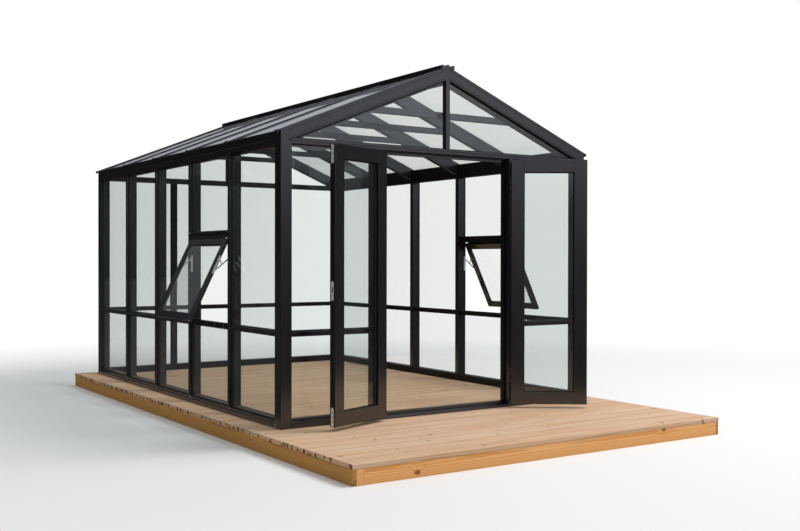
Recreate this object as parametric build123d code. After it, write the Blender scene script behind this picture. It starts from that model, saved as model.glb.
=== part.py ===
from build123d import *
import math
import os

os.makedirs("parts", exist_ok=True)

# Glass greenhouse on a low timber deck, in millimetres.
# Working frame: x across the front from the ridge line, y back from the front face,
# z up from the top of the deck. save() moves every node to the part's own frame.

# House outline, outer faces of the frame
house_width = 2894
house_length = 4160
eave_height = 2100
roof_rise = 587

# Wall framing
frame_depth = 100
glass_set = 28
lip = 6
pane_gap = 1.5
pane_thickness = 4
corner_width = 94
corner_depth = 100
corner_head_width = 56
post_width = 48
first_post_y = 886
post_pitch = 796
side_post_count = 4
sill_height = 62
mid_rail_bottom = 647
mid_rail_height = 43
rail_depth = 78
eave_beam_height = 100
gable_frame_depth = 100

# Front and back walls
door_opening = 1238
door_post_width = 50
door_stop_y = 56
door_stop_lip = 10
door_stop_drop = 19
tie_drop = 96
tie_height = 52
king_post_width = 50
king_post_depth = 40
threshold_height = 45
threshold_step = 20

# Roof
roof_set = 8
rafter_width = 50
rafter_drop = 108
gable_face_drop = 90
ridge_beam_width = 50
ridge_beam_height = 120
ridge_pane_gap = 36
roof_pane_spacing = 10
eave_lip = 6
glazing_bar_width = 44
glazing_bar_rise = 6
gable_trim_back = 56
gable_trim_front = 2
gable_trim_rise = 8
bar_overrun = 16
bar_end_thickness = 8
bar_end_drop = 12
ridge_cap_width = 120
ridge_cap_rise = 20
ridge_cap_shoulder = 8
collar_span = 1368
collar_height = 50
collar_width = 40

# Side window: a top-hung sash in the second bay of each long wall
vent_bay = 1
vent_head_bottom = 1363
vent_head_height = 58
vent_seat_lip = 6
sash_clearance = 4
sash_angle = 26
sash_bar_width = 60
sash_nose_depth = 12
sash_depth = 26
sash_lip = 6
vent_hinge_inset = 20
vent_hinge_radius = 3.5
vent_hinge_leaf = 12
vent_hinge_thickness = 2
stay_width = 12
stay_post_setback = 25
stay_post_drop = 155
stay_sash_reach = 285

# Door leaves
leaf_edge_gap = 6
leaf_width = 608
leaf_thickness = 46
leaf_bottom = 30
leaf_head_gap = 7
leaf_stile = 104
leaf_rail = 101
leaf_nose_depth = 18
left_open_angle = 159
right_open_angle = 144.5
hinge_axis_y = -10
hinge_end_inset = 230
hinge_pair_spacing = 400
hinge_length = 96
hinge_outer_knuckle = 31
hinge_knuckle_gap = 1
hinge_radius = 8
hinge_pin_radius = 3
hinge_pin_clearance = 0.3
hinge_plate_thickness = 4
hinge_plate_width = 30
hinge_plate_setback = 10
edge_plate_width = 22
edge_plate_thickness = 3
bolt_plate_height = 136
bolt_plate_end_gap = 2
lock_plate_height = 136
lock_height = 975

# Deck
deck_left_margin = 197
deck_right_margin = 147
deck_front_margin = 1304
deck_back_margin = 153
board_thickness = 28
joist_height = 100
joist_width = 45
joist_count = 7
fascia_thickness = 28
fascia_setback = 4

# Derived sizes
half_width = house_width / 2
ridge_height = eave_height + roof_rise
slope = roof_rise / half_width
slope_cos = math.cos(math.atan(slope))
grip = lip - pane_gap
post_centres = [first_post_y + i * post_pitch for i in range(side_post_count)]
wall_end = house_length - corner_depth
mid_rail_top = mid_rail_bottom + mid_rail_height
beam_bottom = eave_height - eave_beam_height
tie_bottom = eave_height - tie_drop
tie_top = tie_bottom + tie_height
leaf_top = tie_bottom - leaf_head_gap
door_half = door_opening / 2
door_post_edge = door_half + door_post_width
corner_edge = half_width - corner_width
deck_height = board_thickness + joist_height
deck_length = deck_front_margin + house_length + deck_back_margin
front_y = deck_front_margin - deck_length / 2
deck_left = -half_width - deck_left_margin
deck_right = half_width + deck_right_margin
deck_front = -deck_front_margin
deck_back = house_length + deck_back_margin


# Shared helpers
def block(xs, ys, zs):
    size = (xs[1] - xs[0], ys[1] - ys[0], zs[1] - zs[0])
    middle = ((xs[0] + xs[1]) / 2, (ys[0] + ys[1]) / 2, (zs[0] + zs[1]) / 2)
    return Pos(*middle) * Box(*size)


def save(name, pieces):
    solids = [solid for piece in pieces for solid in piece.solids()]
    node = Pos(0, front_y, deck_height) * Compound(solids)
    export_step(node, f"parts/{name}.step")


def opposite(piece):
    return piece.mirror(Plane.YZ)


def to_back(piece):
    return piece.mirror(Plane(origin=(0, house_length / 2, 0), z_dir=(0, 1, 0)))


# A wall piece is drawn as seen square to its wall: x along the wall, y in from the
# outer face, z up. These two place it on the right or left long wall.
def to_right(piece):
    return Pos(half_width, 0, 0) * Rot(0, 0, 90) * piece


def to_left(piece):
    return opposite(to_right(piece))


def on_sides(pieces):
    return [to_left(piece) for piece in pieces] + [to_right(piece) for piece in pieces]


def on_ends(pieces):
    return pieces + [to_back(piece) for piece in pieces]


def framed(xs, zs, side_lips=(lip, lip), end_lips=(0, 0), depth=frame_depth):
    body = block(xs, (glass_set, depth), zs)
    nose_x = (xs[0] + side_lips[0], xs[1] - side_lips[1])
    nose_z = (zs[0] + end_lips[0], zs[1] - end_lips[1])
    return body + block(nose_x, (0, glass_set), nose_z)


def pane(xs, zs):
    glass_x = (xs[0] - grip, xs[1] + grip)
    glass_z = (zs[0] - grip, zs[1] + grip)
    return block(glass_x, (glass_set - pane_thickness, glass_set), glass_z)


def roof_z(x, rise):
    return ridge_height - slope * abs(x) + rise / slope_cos


def roof_x(z, rise):
    return (ridge_height + rise / slope_cos - z) / slope


def along_y(points, ys):
    face = Plane.XZ * make_face(Polyline(*points, close=True))
    return Pos(0, ys[1], 0) * extrude(face, amount=ys[1] - ys[0])


def slope_bar(xs, rises, ys):
    low, high = rises
    points = [(xs[0], roof_z(xs[0], low)), (xs[1], roof_z(xs[1], low)),
              (xs[1], roof_z(xs[1], high)), (xs[0], roof_z(xs[0], high))]
    return along_y(points, ys)


def under_roof(xs, bottom, rise, ys):
    points = [(xs[0], bottom), (xs[1], bottom),
              (xs[1], roof_z(xs[1], rise)), (xs[0], roof_z(xs[0], rise))]
    return along_y(points, ys)


# Deck: boards on joists, with a fascia plank all round
def deck_joists():
    first = deck_left + fascia_setback + fascia_thickness
    last = deck_right - fascia_setback - fascia_thickness
    pitch = (last - first - joist_width) / (joist_count - 1)
    ys = (deck_front + fascia_setback + fascia_thickness, deck_back - fascia_setback - fascia_thickness)
    starts = [first + i * pitch for i in range(joist_count)]
    return [block((x, x + joist_width), ys, (-deck_height, -board_thickness)) for x in starts]


def deck_side_fascias():
    ys = (deck_front + fascia_setback, deck_back - fascia_setback)
    zs = (-deck_height, -board_thickness)
    left = deck_left + fascia_setback
    right = deck_right - fascia_setback
    return [block((left, left + fascia_thickness), ys, zs), block((right - fascia_thickness, right), ys, zs)]


def deck_end_fascias():
    inner = fascia_setback + fascia_thickness
    xs = (deck_left + inner, deck_right - inner)
    zs = (-deck_height, -board_thickness)
    front = deck_front + fascia_setback
    back = deck_back - fascia_setback
    return [block(xs, (front, front + fascia_thickness), zs), block(xs, (back - fascia_thickness, back), zs)]


save("deck_boards", [block((deck_left, deck_right), (deck_front, deck_back), (-board_thickness, 0))])
save("deck_joists", deck_joists())
save("deck_side_fascias", deck_side_fascias())
save("deck_end_fascias", deck_end_fascias())


# Gable rafters come first, because the posts and ties are cut to them. Their faces stop at the
# king post, which rises between them to the ridge.
king_nose_half = king_post_width / 2 - lip


def gable_rafter():
    foot = -half_width + corner_head_width
    face = slope_bar((foot, -king_nose_half), (-gable_face_drop, 0), (0, glass_set))
    body = slope_bar((foot, 0), (-rafter_drop, -roof_set), (glass_set, gable_frame_depth))
    return face + body


def inner_rafter(y):
    xs = (-half_width + frame_depth, -ridge_beam_width / 2)
    ys = (y - rafter_width / 2, y + rafter_width / 2)
    return slope_bar(xs, (-rafter_drop, -roof_set), ys)


front_left_rafter = gable_rafter()
front_rafters = front_left_rafter + opposite(front_left_rafter)
left_rafters = on_ends([front_left_rafter]) + [inner_rafter(y) for y in post_centres]
save("left_rafters", left_rafters)
save("right_rafters", [opposite(rafter) for rafter in left_rafters])


# Base and posts
def corner_post():
    outer = -half_width
    side_ys = (glass_set, corner_depth - lip)
    face = under_roof((outer, outer + corner_width - lip), 0, 0, (0, glass_set))
    side = under_roof((outer, outer + glass_set), 0, -roof_set, side_ys)
    side_lip = under_roof((outer, outer + eave_lip), 0, 0, side_ys)
    core = under_roof((outer + glass_set, outer + corner_width), 0, -roof_set, (glass_set, corner_depth))
    return face + side + side_lip + core - front_rafters


def bay_edges():
    starts = [corner_depth] + [y + post_width / 2 for y in post_centres]
    ends = [y - post_width / 2 for y in post_centres] + [wall_end]
    return list(zip(starts, ends))


def side_sill():
    return framed((corner_depth, wall_end), (0, sill_height), (-lip, -lip), (0, lip))


def end_sill(xs):
    return framed(xs, (0, sill_height), (-lip, -lip), (0, lip), depth=gable_frame_depth)


def front_sill():
    return end_sill((-corner_edge, -door_post_edge))


def back_sill():
    return end_sill((-corner_edge, corner_edge))


def door_post():
    body = framed((-door_post_edge, -door_half), (0, tie_bottom), (lip, 0), depth=gable_frame_depth)
    stop = block((-door_half, -door_half + door_stop_lip), (door_stop_y, gable_frame_depth), (0, tie_bottom))
    nose_top = block((-door_post_edge + lip, -door_half), (0, glass_set), (tie_bottom, tie_bottom + lip))
    return body + stop + nose_top


def back_post():
    xs = (-door_post_edge, -door_half)
    body = framed(xs, (sill_height, tie_bottom), depth=gable_frame_depth)
    nose_ends = block((xs[0] + lip, xs[1] - lip), (0, glass_set), (sill_height - lip, tie_bottom + lip))
    return body + nose_ends


def door_threshold():
    step = block((-door_half, door_half), (0, door_stop_y), (0, threshold_step))
    inner = door_half - door_stop_lip
    return step + block((-inner, inner), (door_stop_y, gable_frame_depth), (0, threshold_height))


left_corner_post = corner_post()
front_corner_posts = [left_corner_post, opposite(left_corner_post)]
save("corner_posts", on_ends(front_corner_posts))
save("side_sills", on_sides([side_sill()]))
save("front_sills", [front_sill(), opposite(front_sill())])
save("back_sill", [to_back(back_sill())])
save("door_threshold", [door_threshold()])
save("door_posts", [door_post(), opposite(door_post())])
save("back_posts", [to_back(back_post()), to_back(opposite(back_post()))])


# Side posts reach down to the sill's face and up to the beam's face
def side_post(xs):
    nose = block((xs[0] + lip, xs[1] - lip), (0, glass_set), (sill_height - lip, beam_bottom + lip))
    return framed(xs, (sill_height, beam_bottom)) + nose


save("side_posts", on_sides([side_post((y - post_width / 2, y + post_width / 2)) for y in post_centres]))


# Rails that split the panes. Under the window the rail's face is cut down to a low lip, so that
# the closed sash laps over the rail.
vent_seat_top = mid_rail_bottom + lip + vent_seat_lip


def mid_rail(xs, top_lip=lip):
    zs = (mid_rail_bottom, mid_rail_top)
    return framed(xs, zs, (-lip, -lip), (lip, top_lip), depth=rail_depth)


def side_mid_rails():
    seat_lip = mid_rail_top - vent_seat_top
    return [mid_rail(xs, seat_lip if i == vent_bay else lip) for i, xs in enumerate(bay_edges())]


def vent_head_rail():
    zs = (vent_head_bottom, vent_head_bottom + vent_head_height)
    return framed(bay_edges()[vent_bay], zs, (-lip, -lip), (0, lip), depth=rail_depth)


front_bay = (-corner_edge, -door_post_edge)
back_middle_bay = (-door_half, door_half)
front_rails = [mid_rail(front_bay), opposite(mid_rail(front_bay))]
save("side_mid_rails", on_sides(side_mid_rails()))
save("front_mid_rails", front_rails)
save("back_mid_rails", [to_back(rail) for rail in front_rails + [mid_rail(back_middle_bay)]])
save("vent_head_rails", on_sides([vent_head_rail()]))


# Beams: eaves along the sides, ties across the gables, collars and the ridge. The eave beam has
# a thin outer lip that the lower edges of the roof panes stand behind.
def eave_beam():
    outer = -half_width
    ys = (corner_depth, wall_end)
    nose_ys = (corner_depth - lip, wall_end + lip)
    nose = under_roof((outer, outer + glass_set), beam_bottom + lip, -roof_set, nose_ys)
    outer_lip = under_roof((outer, outer + eave_lip), beam_bottom + lip, 0, nose_ys)
    body = under_roof((outer + glass_set, outer + frame_depth), beam_bottom, -roof_set, ys)
    return nose + outer_lip + body


def tie_beam():
    xs = (-corner_edge, corner_edge)
    beam = framed(xs, (tie_bottom, tie_top), (-lip, -lip), (lip, lip), depth=gable_frame_depth)
    return beam - front_rafters


def door_head_stop():
    inner = door_half - door_stop_lip
    return block((-inner, inner), (door_stop_y, gable_frame_depth), (tie_bottom - door_stop_drop, tie_bottom))


def king_post():
    half = king_post_width / 2
    bottom = tie_top - lip
    top = roof_z(king_nose_half, 0)
    body = block((-half, half), (glass_set, king_post_depth), (bottom, roof_z(0, -gable_face_drop)))
    points = [(-king_nose_half, bottom), (king_nose_half, bottom), (king_nose_half, top),
              (0, ridge_height), (-king_nose_half, top)]
    return along_y(points, (0, glass_set)) + body - front_rafters - tie_beam()


def collar_tie(ys):
    low_x = collar_span / 2
    bottom = roof_z(low_x, -rafter_drop)
    top = bottom + collar_height
    high_x = roof_x(top, -rafter_drop)
    points = [(-low_x, bottom), (low_x, bottom), (high_x, top), (-high_x, top)]
    return along_y(points, ys)


def collar_ties():
    inner = [collar_tie((y - collar_width / 2, y + collar_width / 2)) for y in post_centres]
    return on_ends([collar_tie((gable_frame_depth - collar_width, gable_frame_depth))]) + inner


def ridge_beam():
    half = ridge_beam_width / 2
    bottom = roof_z(0, -roof_set) - ridge_beam_height
    points = [(-half, bottom), (half, bottom), (half, roof_z(half, -roof_set)),
              (0, roof_z(0, -roof_set)), (-half, roof_z(half, -roof_set))]
    return along_y(points, (gable_frame_depth, house_length - gable_frame_depth))


save("eave_beams", [eave_beam(), opposite(eave_beam())])
save("gable_tie_beams", on_ends([tie_beam()]))
save("door_head_stop", [door_head_stop()])
save("king_posts", on_ends([king_post()]))
save("collar_ties", collar_ties())
save("ridge_beam", [ridge_beam()])


# Roof covering: panes on the rafters, a bar over each joint and a cap on the ridge
pane_top_rise = pane_thickness - roof_set
pane_foot_x = -half_width + eave_lip + pane_gap
bar_foot_x = -half_width - bar_overrun
bar_head_x = -ridge_cap_width / 2


def roof_panes():
    xs = (pane_foot_x, -ridge_pane_gap / 2)
    half_gap = roof_pane_spacing / 2
    starts = [glass_set + pane_gap] + [y + half_gap for y in post_centres]
    ends = [y - half_gap for y in post_centres] + [house_length - glass_set - pane_gap]
    return [slope_bar(xs, (-roof_set, pane_top_rise), ys) for ys in zip(starts, ends)]


# A bar lies on the glass, runs out over the eave's lip and ends in a block that hangs before it
def cover_bar(seat_ys, cover_ys, rise):
    seat = slope_bar((pane_foot_x, bar_head_x), (pane_top_rise, 0), seat_ys)
    cover = slope_bar((bar_foot_x, bar_head_x), (0, rise), cover_ys)
    end_xs = (bar_foot_x - bar_end_thickness, bar_foot_x)
    return seat + cover + slope_bar(end_xs, (-bar_end_drop, rise + 2), cover_ys)


def glazing_bar(y):
    ys = (y - glazing_bar_width / 2, y + glazing_bar_width / 2)
    return cover_bar(ys, ys, glazing_bar_rise)


def glazing_bars():
    trim = cover_bar((glass_set, gable_trim_back), (gable_trim_front, gable_trim_back), gable_trim_rise)
    return [glazing_bar(y) for y in post_centres] + on_ends([trim])


def ridge_cap_body(low_rise, ys):
    half = ridge_cap_width / 2
    points = [(-half, roof_z(half, low_rise)), (0, roof_z(0, low_rise)), (half, roof_z(half, low_rise))]
    top = ridge_height + ridge_cap_rise
    edge_top = top - ridge_cap_shoulder
    flat = half - ridge_cap_shoulder
    points += [(half, edge_top), (flat, top), (-flat, top), (-half, edge_top)]
    return along_y(points, ys)


def ridge_cap():
    whole = ridge_cap_body(0, (0, house_length))
    return whole + ridge_cap_body(pane_top_rise, (glass_set, house_length - glass_set))


save("left_roof_panes", roof_panes())
save("right_roof_panes", [opposite(sheet) for sheet in roof_panes()])
save("left_glazing_bars", glazing_bars())
save("right_glazing_bars", [opposite(bar) for bar in glazing_bars()])
save("ridge_cap", [ridge_cap()])


# Wall glass
def side_panes():
    panes = []
    for i, xs in enumerate(bay_edges()):
        panes.append(pane(xs, (sill_height, mid_rail_bottom)))
        bottom = vent_head_bottom + vent_head_height if i == vent_bay else mid_rail_top
        panes.append(pane(xs, (bottom, beam_bottom)))
    return panes


def end_panes(xs):
    return [pane(xs, (sill_height, mid_rail_bottom)), pane(xs, (mid_rail_top, tie_bottom))]


def gable_pane():
    inner = -king_post_width / 2 + grip
    bottom = tie_top - grip
    edge_rise = -gable_face_drop - pane_gap
    points = [(inner, bottom), (inner, roof_z(inner, edge_rise)), (-roof_x(bottom, edge_rise), bottom)]
    return along_y(points, (glass_set - pane_thickness, glass_set))


side_glass = side_panes()
front_glass = end_panes(front_bay)
both_front_glass = front_glass + [opposite(sheet) for sheet in front_glass]
save("left_wall_panes", [to_left(sheet) for sheet in side_glass])
save("right_wall_panes", [to_right(sheet) for sheet in side_glass])
save("front_wall_panes", both_front_glass)
save("back_wall_panes", [to_back(sheet) for sheet in both_front_glass + end_panes(back_middle_bay)])
save("gable_panes", on_ends([gable_pane(), opposite(gable_pane())]))


# Side window sash, drawn closed below its hinge line and then swung outwards
vent_edges = bay_edges()[vent_bay]
vent_middle = (vent_edges[0] + vent_edges[1]) / 2
sash_half = (vent_edges[1] - vent_edges[0]) / 2 - sash_clearance
hinge_line_z = vent_head_bottom - sash_clearance
sash_height = hinge_line_z - vent_seat_top - 3


def swung(piece):
    return Pos(vent_middle, 0, hinge_line_z) * Rot(-sash_angle, 0, 0) * piece


def sash_stile():
    body = block((-sash_half, -sash_half + sash_bar_width), (sash_nose_depth, sash_depth), (-sash_height, 0))
    nose = block((-sash_half, -sash_half + sash_bar_width - sash_lip), (0, sash_nose_depth), (-sash_height, 0))
    return body + nose


def sash_rail(zs, nose_zs):
    half = sash_half - sash_bar_width
    body = block((-half, half), (sash_nose_depth, sash_depth), zs)
    return body + block((-half - sash_lip, half + sash_lip), (0, sash_nose_depth), nose_zs)


def sash_rails():
    top = (-sash_bar_width, 0)
    bottom = (-sash_height, -sash_height + sash_bar_width)
    return [sash_rail(top, (top[0] + sash_lip, 0)), sash_rail(bottom, (bottom[0], bottom[1] - sash_lip))]


def sash_pane():
    half = sash_half - sash_bar_width + grip
    zs = (-sash_height + sash_bar_width - grip, -sash_bar_width + grip)
    return block((-half, half), (sash_nose_depth - pane_thickness, sash_nose_depth), zs)


# The sash hangs on one long hinge strip on the face of the head rail
def vent_hinge():
    half = sash_half - vent_hinge_inset
    xs = (vent_middle - half, vent_middle + half)
    leaf_top = vent_head_bottom + vent_hinge_leaf
    leaf = block(xs, (-vent_hinge_thickness, 0), (hinge_line_z, leaf_top))
    line = Pos(vent_middle, -vent_hinge_radius, hinge_line_z) * Rot(0, 90, 0)
    barrel = line * Cylinder(vent_hinge_radius, 2 * half)
    swung_solids = [swung(piece) for piece in sash_rails() + sash_stiles]
    hinge = leaf + barrel
    for solid in swung_solids:
        hinge = hinge - solid
    return hinge


def stay():
    angle = math.radians(sash_angle)
    reach = stay_sash_reach
    middle = sash_depth / 2
    sash_y = -reach * math.sin(angle) + middle * math.cos(angle)
    sash_z = hinge_line_z - reach * math.cos(angle) - middle * math.sin(angle)
    post_z = hinge_line_z - stay_post_drop
    length = math.hypot(sash_y - stay_post_setback, sash_z - post_z)
    tilt = math.degrees(math.atan2(post_z - sash_z, stay_post_setback - sash_y))
    arm = extrude(SlotCenterToCenter(length, stay_width), sash_clearance / 2, both=True)
    centre = (vent_edges[0] + sash_clearance / 2, (sash_y + stay_post_setback) / 2, (sash_z + post_z) / 2)
    upright = Plane(origin=centre, x_dir=(0, 1, 0), z_dir=(1, 0, 0))
    return upright * Rot(0, 0, tilt) * arm


def vent_opposite(piece):
    return piece.mirror(Plane(origin=(vent_middle, 0, 0), z_dir=(1, 0, 0)))


sash_stiles = [sash_stile(), opposite(sash_stile())]
save("vent_sash_stiles", on_sides([swung(piece) for piece in sash_stiles]))
save("vent_sash_rails", on_sides([swung(piece) for piece in sash_rails()]))
save("vent_sash_panes", on_sides([swung(sash_pane())]))
save("vent_hinges", on_sides([vent_hinge()]))
save("vent_stays", on_sides([stay(), vent_opposite(stay())]))


# Door leaves, drawn closed as the left one and then swung open about the hinge line
leaf_hinge_edge = -door_half + leaf_edge_gap
leaf_free_edge = leaf_hinge_edge + leaf_width
plate_pocket_x = (leaf_free_edge - edge_plate_thickness, leaf_free_edge)
leaf_zs = (leaf_bottom, leaf_top)
leaf_inner_x = (leaf_hinge_edge + leaf_stile, leaf_free_edge - leaf_stile)


def edge_plate(zs):
    middle = leaf_thickness / 2
    ys = (middle - edge_plate_width / 2, middle + edge_plate_width / 2)
    return block(plate_pocket_x, ys, zs)


def edge_plates():
    top = (leaf_top - bolt_plate_end_gap - bolt_plate_height, leaf_top - bolt_plate_end_gap)
    bottom = (leaf_bottom + bolt_plate_end_gap, leaf_bottom + bolt_plate_end_gap + bolt_plate_height)
    lock = (lock_height - lock_plate_height / 2, lock_height + lock_plate_height / 2)
    return [edge_plate(top), edge_plate(lock), edge_plate(bottom)]


def lock_plate():
    return edge_plates()[1]


def leaf_bar(body_xs, nose_xs, body_zs, nose_zs):
    body = block(body_xs, (leaf_nose_depth, leaf_thickness), body_zs)
    return body + block(nose_xs, (0, leaf_nose_depth), nose_zs)


def hinge_stile():
    xs = (leaf_hinge_edge, leaf_inner_x[0])
    return leaf_bar(xs, (xs[0], xs[1] - lip), leaf_zs, leaf_zs)


def free_stile(plates):
    xs = (leaf_inner_x[1], leaf_free_edge)
    stile = leaf_bar(xs, (xs[0] + lip, xs[1]), leaf_zs, leaf_zs)
    for plate in plates:
        stile = stile - plate
    return stile


def leaf_rails():
    nose_xs = (leaf_inner_x[0] - lip, leaf_inner_x[1] + lip)
    top = (leaf_top - leaf_rail, leaf_top)
    bottom = (leaf_bottom, leaf_bottom + leaf_rail)
    return [leaf_bar(leaf_inner_x, nose_xs, top, (top[0] + lip, top[1])),
            leaf_bar(leaf_inner_x, nose_xs, bottom, (bottom[0], bottom[1] - lip))]


def leaf_pane():
    xs = (leaf_inner_x[0] - grip, leaf_inner_x[1] + grip)
    zs = (leaf_bottom + leaf_rail - grip, leaf_top - leaf_rail + grip)
    return block(xs, (leaf_nose_depth - pane_thickness, leaf_nose_depth), zs)


def knuckle(radius, zs):
    height = zs[1] - zs[0]
    return Pos(-door_half, hinge_axis_y, (zs[0] + zs[1]) / 2) * Cylinder(radius, height)


def frame_hinge(z):
    low, high = z - hinge_length / 2, z + hinge_length / 2
    plate_end = -door_half - hinge_plate_setback
    plate_ys = (-hinge_plate_thickness, 0)
    hinge = block((plate_end - hinge_plate_width, plate_end), plate_ys, (low, high))
    for zs in ((low, low + hinge_outer_knuckle), (high - hinge_outer_knuckle, high)):
        hinge = hinge + block((plate_end, -door_half), (hinge_axis_y, 0), zs)
        hinge = hinge + knuckle(hinge_radius, zs)
    return hinge + knuckle(hinge_pin_radius, (low, high))


def leaf_hinge(z):
    low, high = z - hinge_length / 2, z + hinge_length / 2
    inner = hinge_outer_knuckle + hinge_knuckle_gap
    zs = (low + inner, high - inner)
    start = -door_half + hinge_plate_setback
    plate_ys = (-hinge_plate_thickness, 0)
    hinge = block((start, start + hinge_plate_width), plate_ys, (low, high))
    hinge = hinge + block((-door_half, start), (hinge_axis_y, -hinge_plate_thickness / 2), zs)
    hinge = hinge + knuckle(hinge_radius, zs)
    return hinge - knuckle(hinge_pin_radius + hinge_pin_clearance, (low, high))


def opened(pieces, angle):
    axis = Pos(-door_half, hinge_axis_y, 0)
    return [axis * Rot(0, 0, -angle) * axis.inverse() * piece for piece in pieces]


def left_leaf(pieces):
    return opened(pieces, left_open_angle)


def right_leaf(pieces):
    return [opposite(piece) for piece in opened(pieces, right_open_angle)]


top_hinge = leaf_top - hinge_end_inset
hinge_heights = (leaf_bottom + hinge_end_inset, top_hinge - hinge_pair_spacing, top_hinge)
frame_hinges = [frame_hinge(z) for z in hinge_heights]
leaf_hinges = [leaf_hinge(z) for z in hinge_heights]
save("door_frame_hinges", frame_hinges + [opposite(hinge) for hinge in frame_hinges])
save("left_door_stiles", left_leaf([hinge_stile(), free_stile(edge_plates())]))
save("left_door_rails", left_leaf(leaf_rails()))
save("left_door_pane", left_leaf([leaf_pane()]))
save("left_door_hinges", left_leaf(leaf_hinges))
save("left_door_edge_plates", left_leaf(edge_plates()))
save("right_door_stiles", right_leaf([hinge_stile(), free_stile([lock_plate()])]))
save("right_door_rails", right_leaf(leaf_rails()))
save("right_door_pane", right_leaf([leaf_pane()]))
save("right_door_hinges", right_leaf(leaf_hinges))
save("right_door_lock_plate", right_leaf([lock_plate()]))
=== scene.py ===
import math

import bmesh
import bpy
from mathutils import Matrix, Vector


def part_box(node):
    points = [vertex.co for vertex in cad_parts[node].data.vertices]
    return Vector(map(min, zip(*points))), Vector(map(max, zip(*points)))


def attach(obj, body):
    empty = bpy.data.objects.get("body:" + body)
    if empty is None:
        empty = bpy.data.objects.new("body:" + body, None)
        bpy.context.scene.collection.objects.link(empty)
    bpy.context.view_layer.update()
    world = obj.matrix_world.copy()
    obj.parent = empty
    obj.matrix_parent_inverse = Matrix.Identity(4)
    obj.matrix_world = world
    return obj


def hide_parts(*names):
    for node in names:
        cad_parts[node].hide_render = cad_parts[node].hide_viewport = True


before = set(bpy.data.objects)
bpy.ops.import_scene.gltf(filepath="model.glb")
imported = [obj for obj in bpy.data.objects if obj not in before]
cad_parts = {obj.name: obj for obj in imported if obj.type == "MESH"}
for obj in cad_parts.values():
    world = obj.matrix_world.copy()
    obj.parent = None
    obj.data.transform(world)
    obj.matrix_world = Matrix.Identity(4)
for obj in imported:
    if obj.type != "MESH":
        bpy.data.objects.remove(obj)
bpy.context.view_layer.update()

# DECK BOARDS. Planed pine boards laid across the joists, side by side with an open gap.
# Their arrises are rounded at the mill, each is cut from another part of the log, and the
# sun has bleached the tops to a pinkish tan, while the sawn ends are darker.
MM = 0.001
board_count = 36
board_gap = 6 * MM
board_arris = 3 * MM
board_wander = 1.5 * MM


def linear(code, lift=1.0):
    """Linear colour of an sRGB hex code, which can be made lighter."""
    parts = [int(code[i:i + 2], 16) / 255 for i in (1, 3, 5)]
    parts = [c / 12.92 if c <= 0.04045 else ((c + 0.055) / 1.055) ** 2.4 for c in parts]
    return tuple(c * lift for c in parts) + (1.0,)


def feed(node, sockets):
    """Gives each of these inputs a value or another node's output."""
    for key, value in sockets.items():
        if isinstance(value, bpy.types.NodeSocket):
            node.id_data.links.new(value, node.inputs[key])
        else:
            node.inputs[key].default_value = value


def add(tree, kind, sockets=None, **settings):
    """Adds a node with its settings and its inputs."""
    node = tree.nodes.new(kind)
    for name, value in settings.items():
        setattr(node, name, value)
    feed(node, sockets or {})
    return node


def output(tree, kind, sockets=None, **settings):
    """The first output of a new node."""
    return add(tree, kind, sockets, **settings).outputs[0]


def new_material(name):
    """A material with an empty tree, its Principled shader and its output."""
    material = bpy.data.materials.new(name)
    material.use_nodes = True
    tree = material.node_tree
    tree.nodes.clear()
    shader = add(tree, "ShaderNodeBsdfPrincipled")
    add(tree, "ShaderNodeOutputMaterial", {"Surface": shader.outputs[0]})
    return material, tree, shader


def mixed(share, start, end):
    """A colour between two others. Like the next few, it works in the tree of its socket."""
    sockets = {0: share, 6: start, 7: end}
    return add(share.id_data, "ShaderNodeMix", sockets, data_type="RGBA").outputs[2]


def spread(value, low, high, to_low=0.0, to_high=1.0):
    """A value stretched smoothly from one range to another."""
    sockets = {0: value, 1: low, 2: high, 3: to_low, 4: to_high}
    return output(value.id_data, "ShaderNodeMapRange", sockets, interpolation_type="SMOOTHSTEP")


def tree_of(values):
    return next(value.id_data for value in values if isinstance(value, bpy.types.NodeSocket))


def maths(operation, *values, clamp=False):
    sockets = dict(enumerate(values))
    return output(tree_of(values), "ShaderNodeMath", sockets, operation=operation, use_clamp=clamp)


def times(*values):
    return maths("MULTIPLY", *values)


def plus(*values):
    return maths("ADD", *values)


def vectors(operation, *values):
    sockets = dict(enumerate(values))
    node = add(tree_of(values), "ShaderNodeVectorMath", sockets, operation=operation)
    return node.outputs["Value" if operation in ("LENGTH", "DOT_PRODUCT") else "Vector"]


def noise(where, scale, detail=2.0, roughness=0.5, stretch=None):
    """Noise over a place, which can be squeezed along its axes first."""
    if stretch:
        where = vectors("MULTIPLY", where, stretch)
    sockets = {"Vector": where, "Scale": scale, "Detail": detail, "Roughness": roughness}
    return output(where.id_data, "ShaderNodeTexNoise", sockets)


def bumped(height, strength, distance):
    """A surface normal that follows a height."""
    sockets = {"Height": height, "Strength": strength, "Distance": distance}
    return output(height.id_data, "ShaderNodeBump", sockets)


# Pine, planed and left bare or stained: pale summer wood and darker winter lines along the
# board, drawn 9 mm apart because the real 3 mm would not show, with knots, a soft satin
# sheen and a darker sawn end.
knot_along = 0.55
knot_across = 0.12


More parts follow.
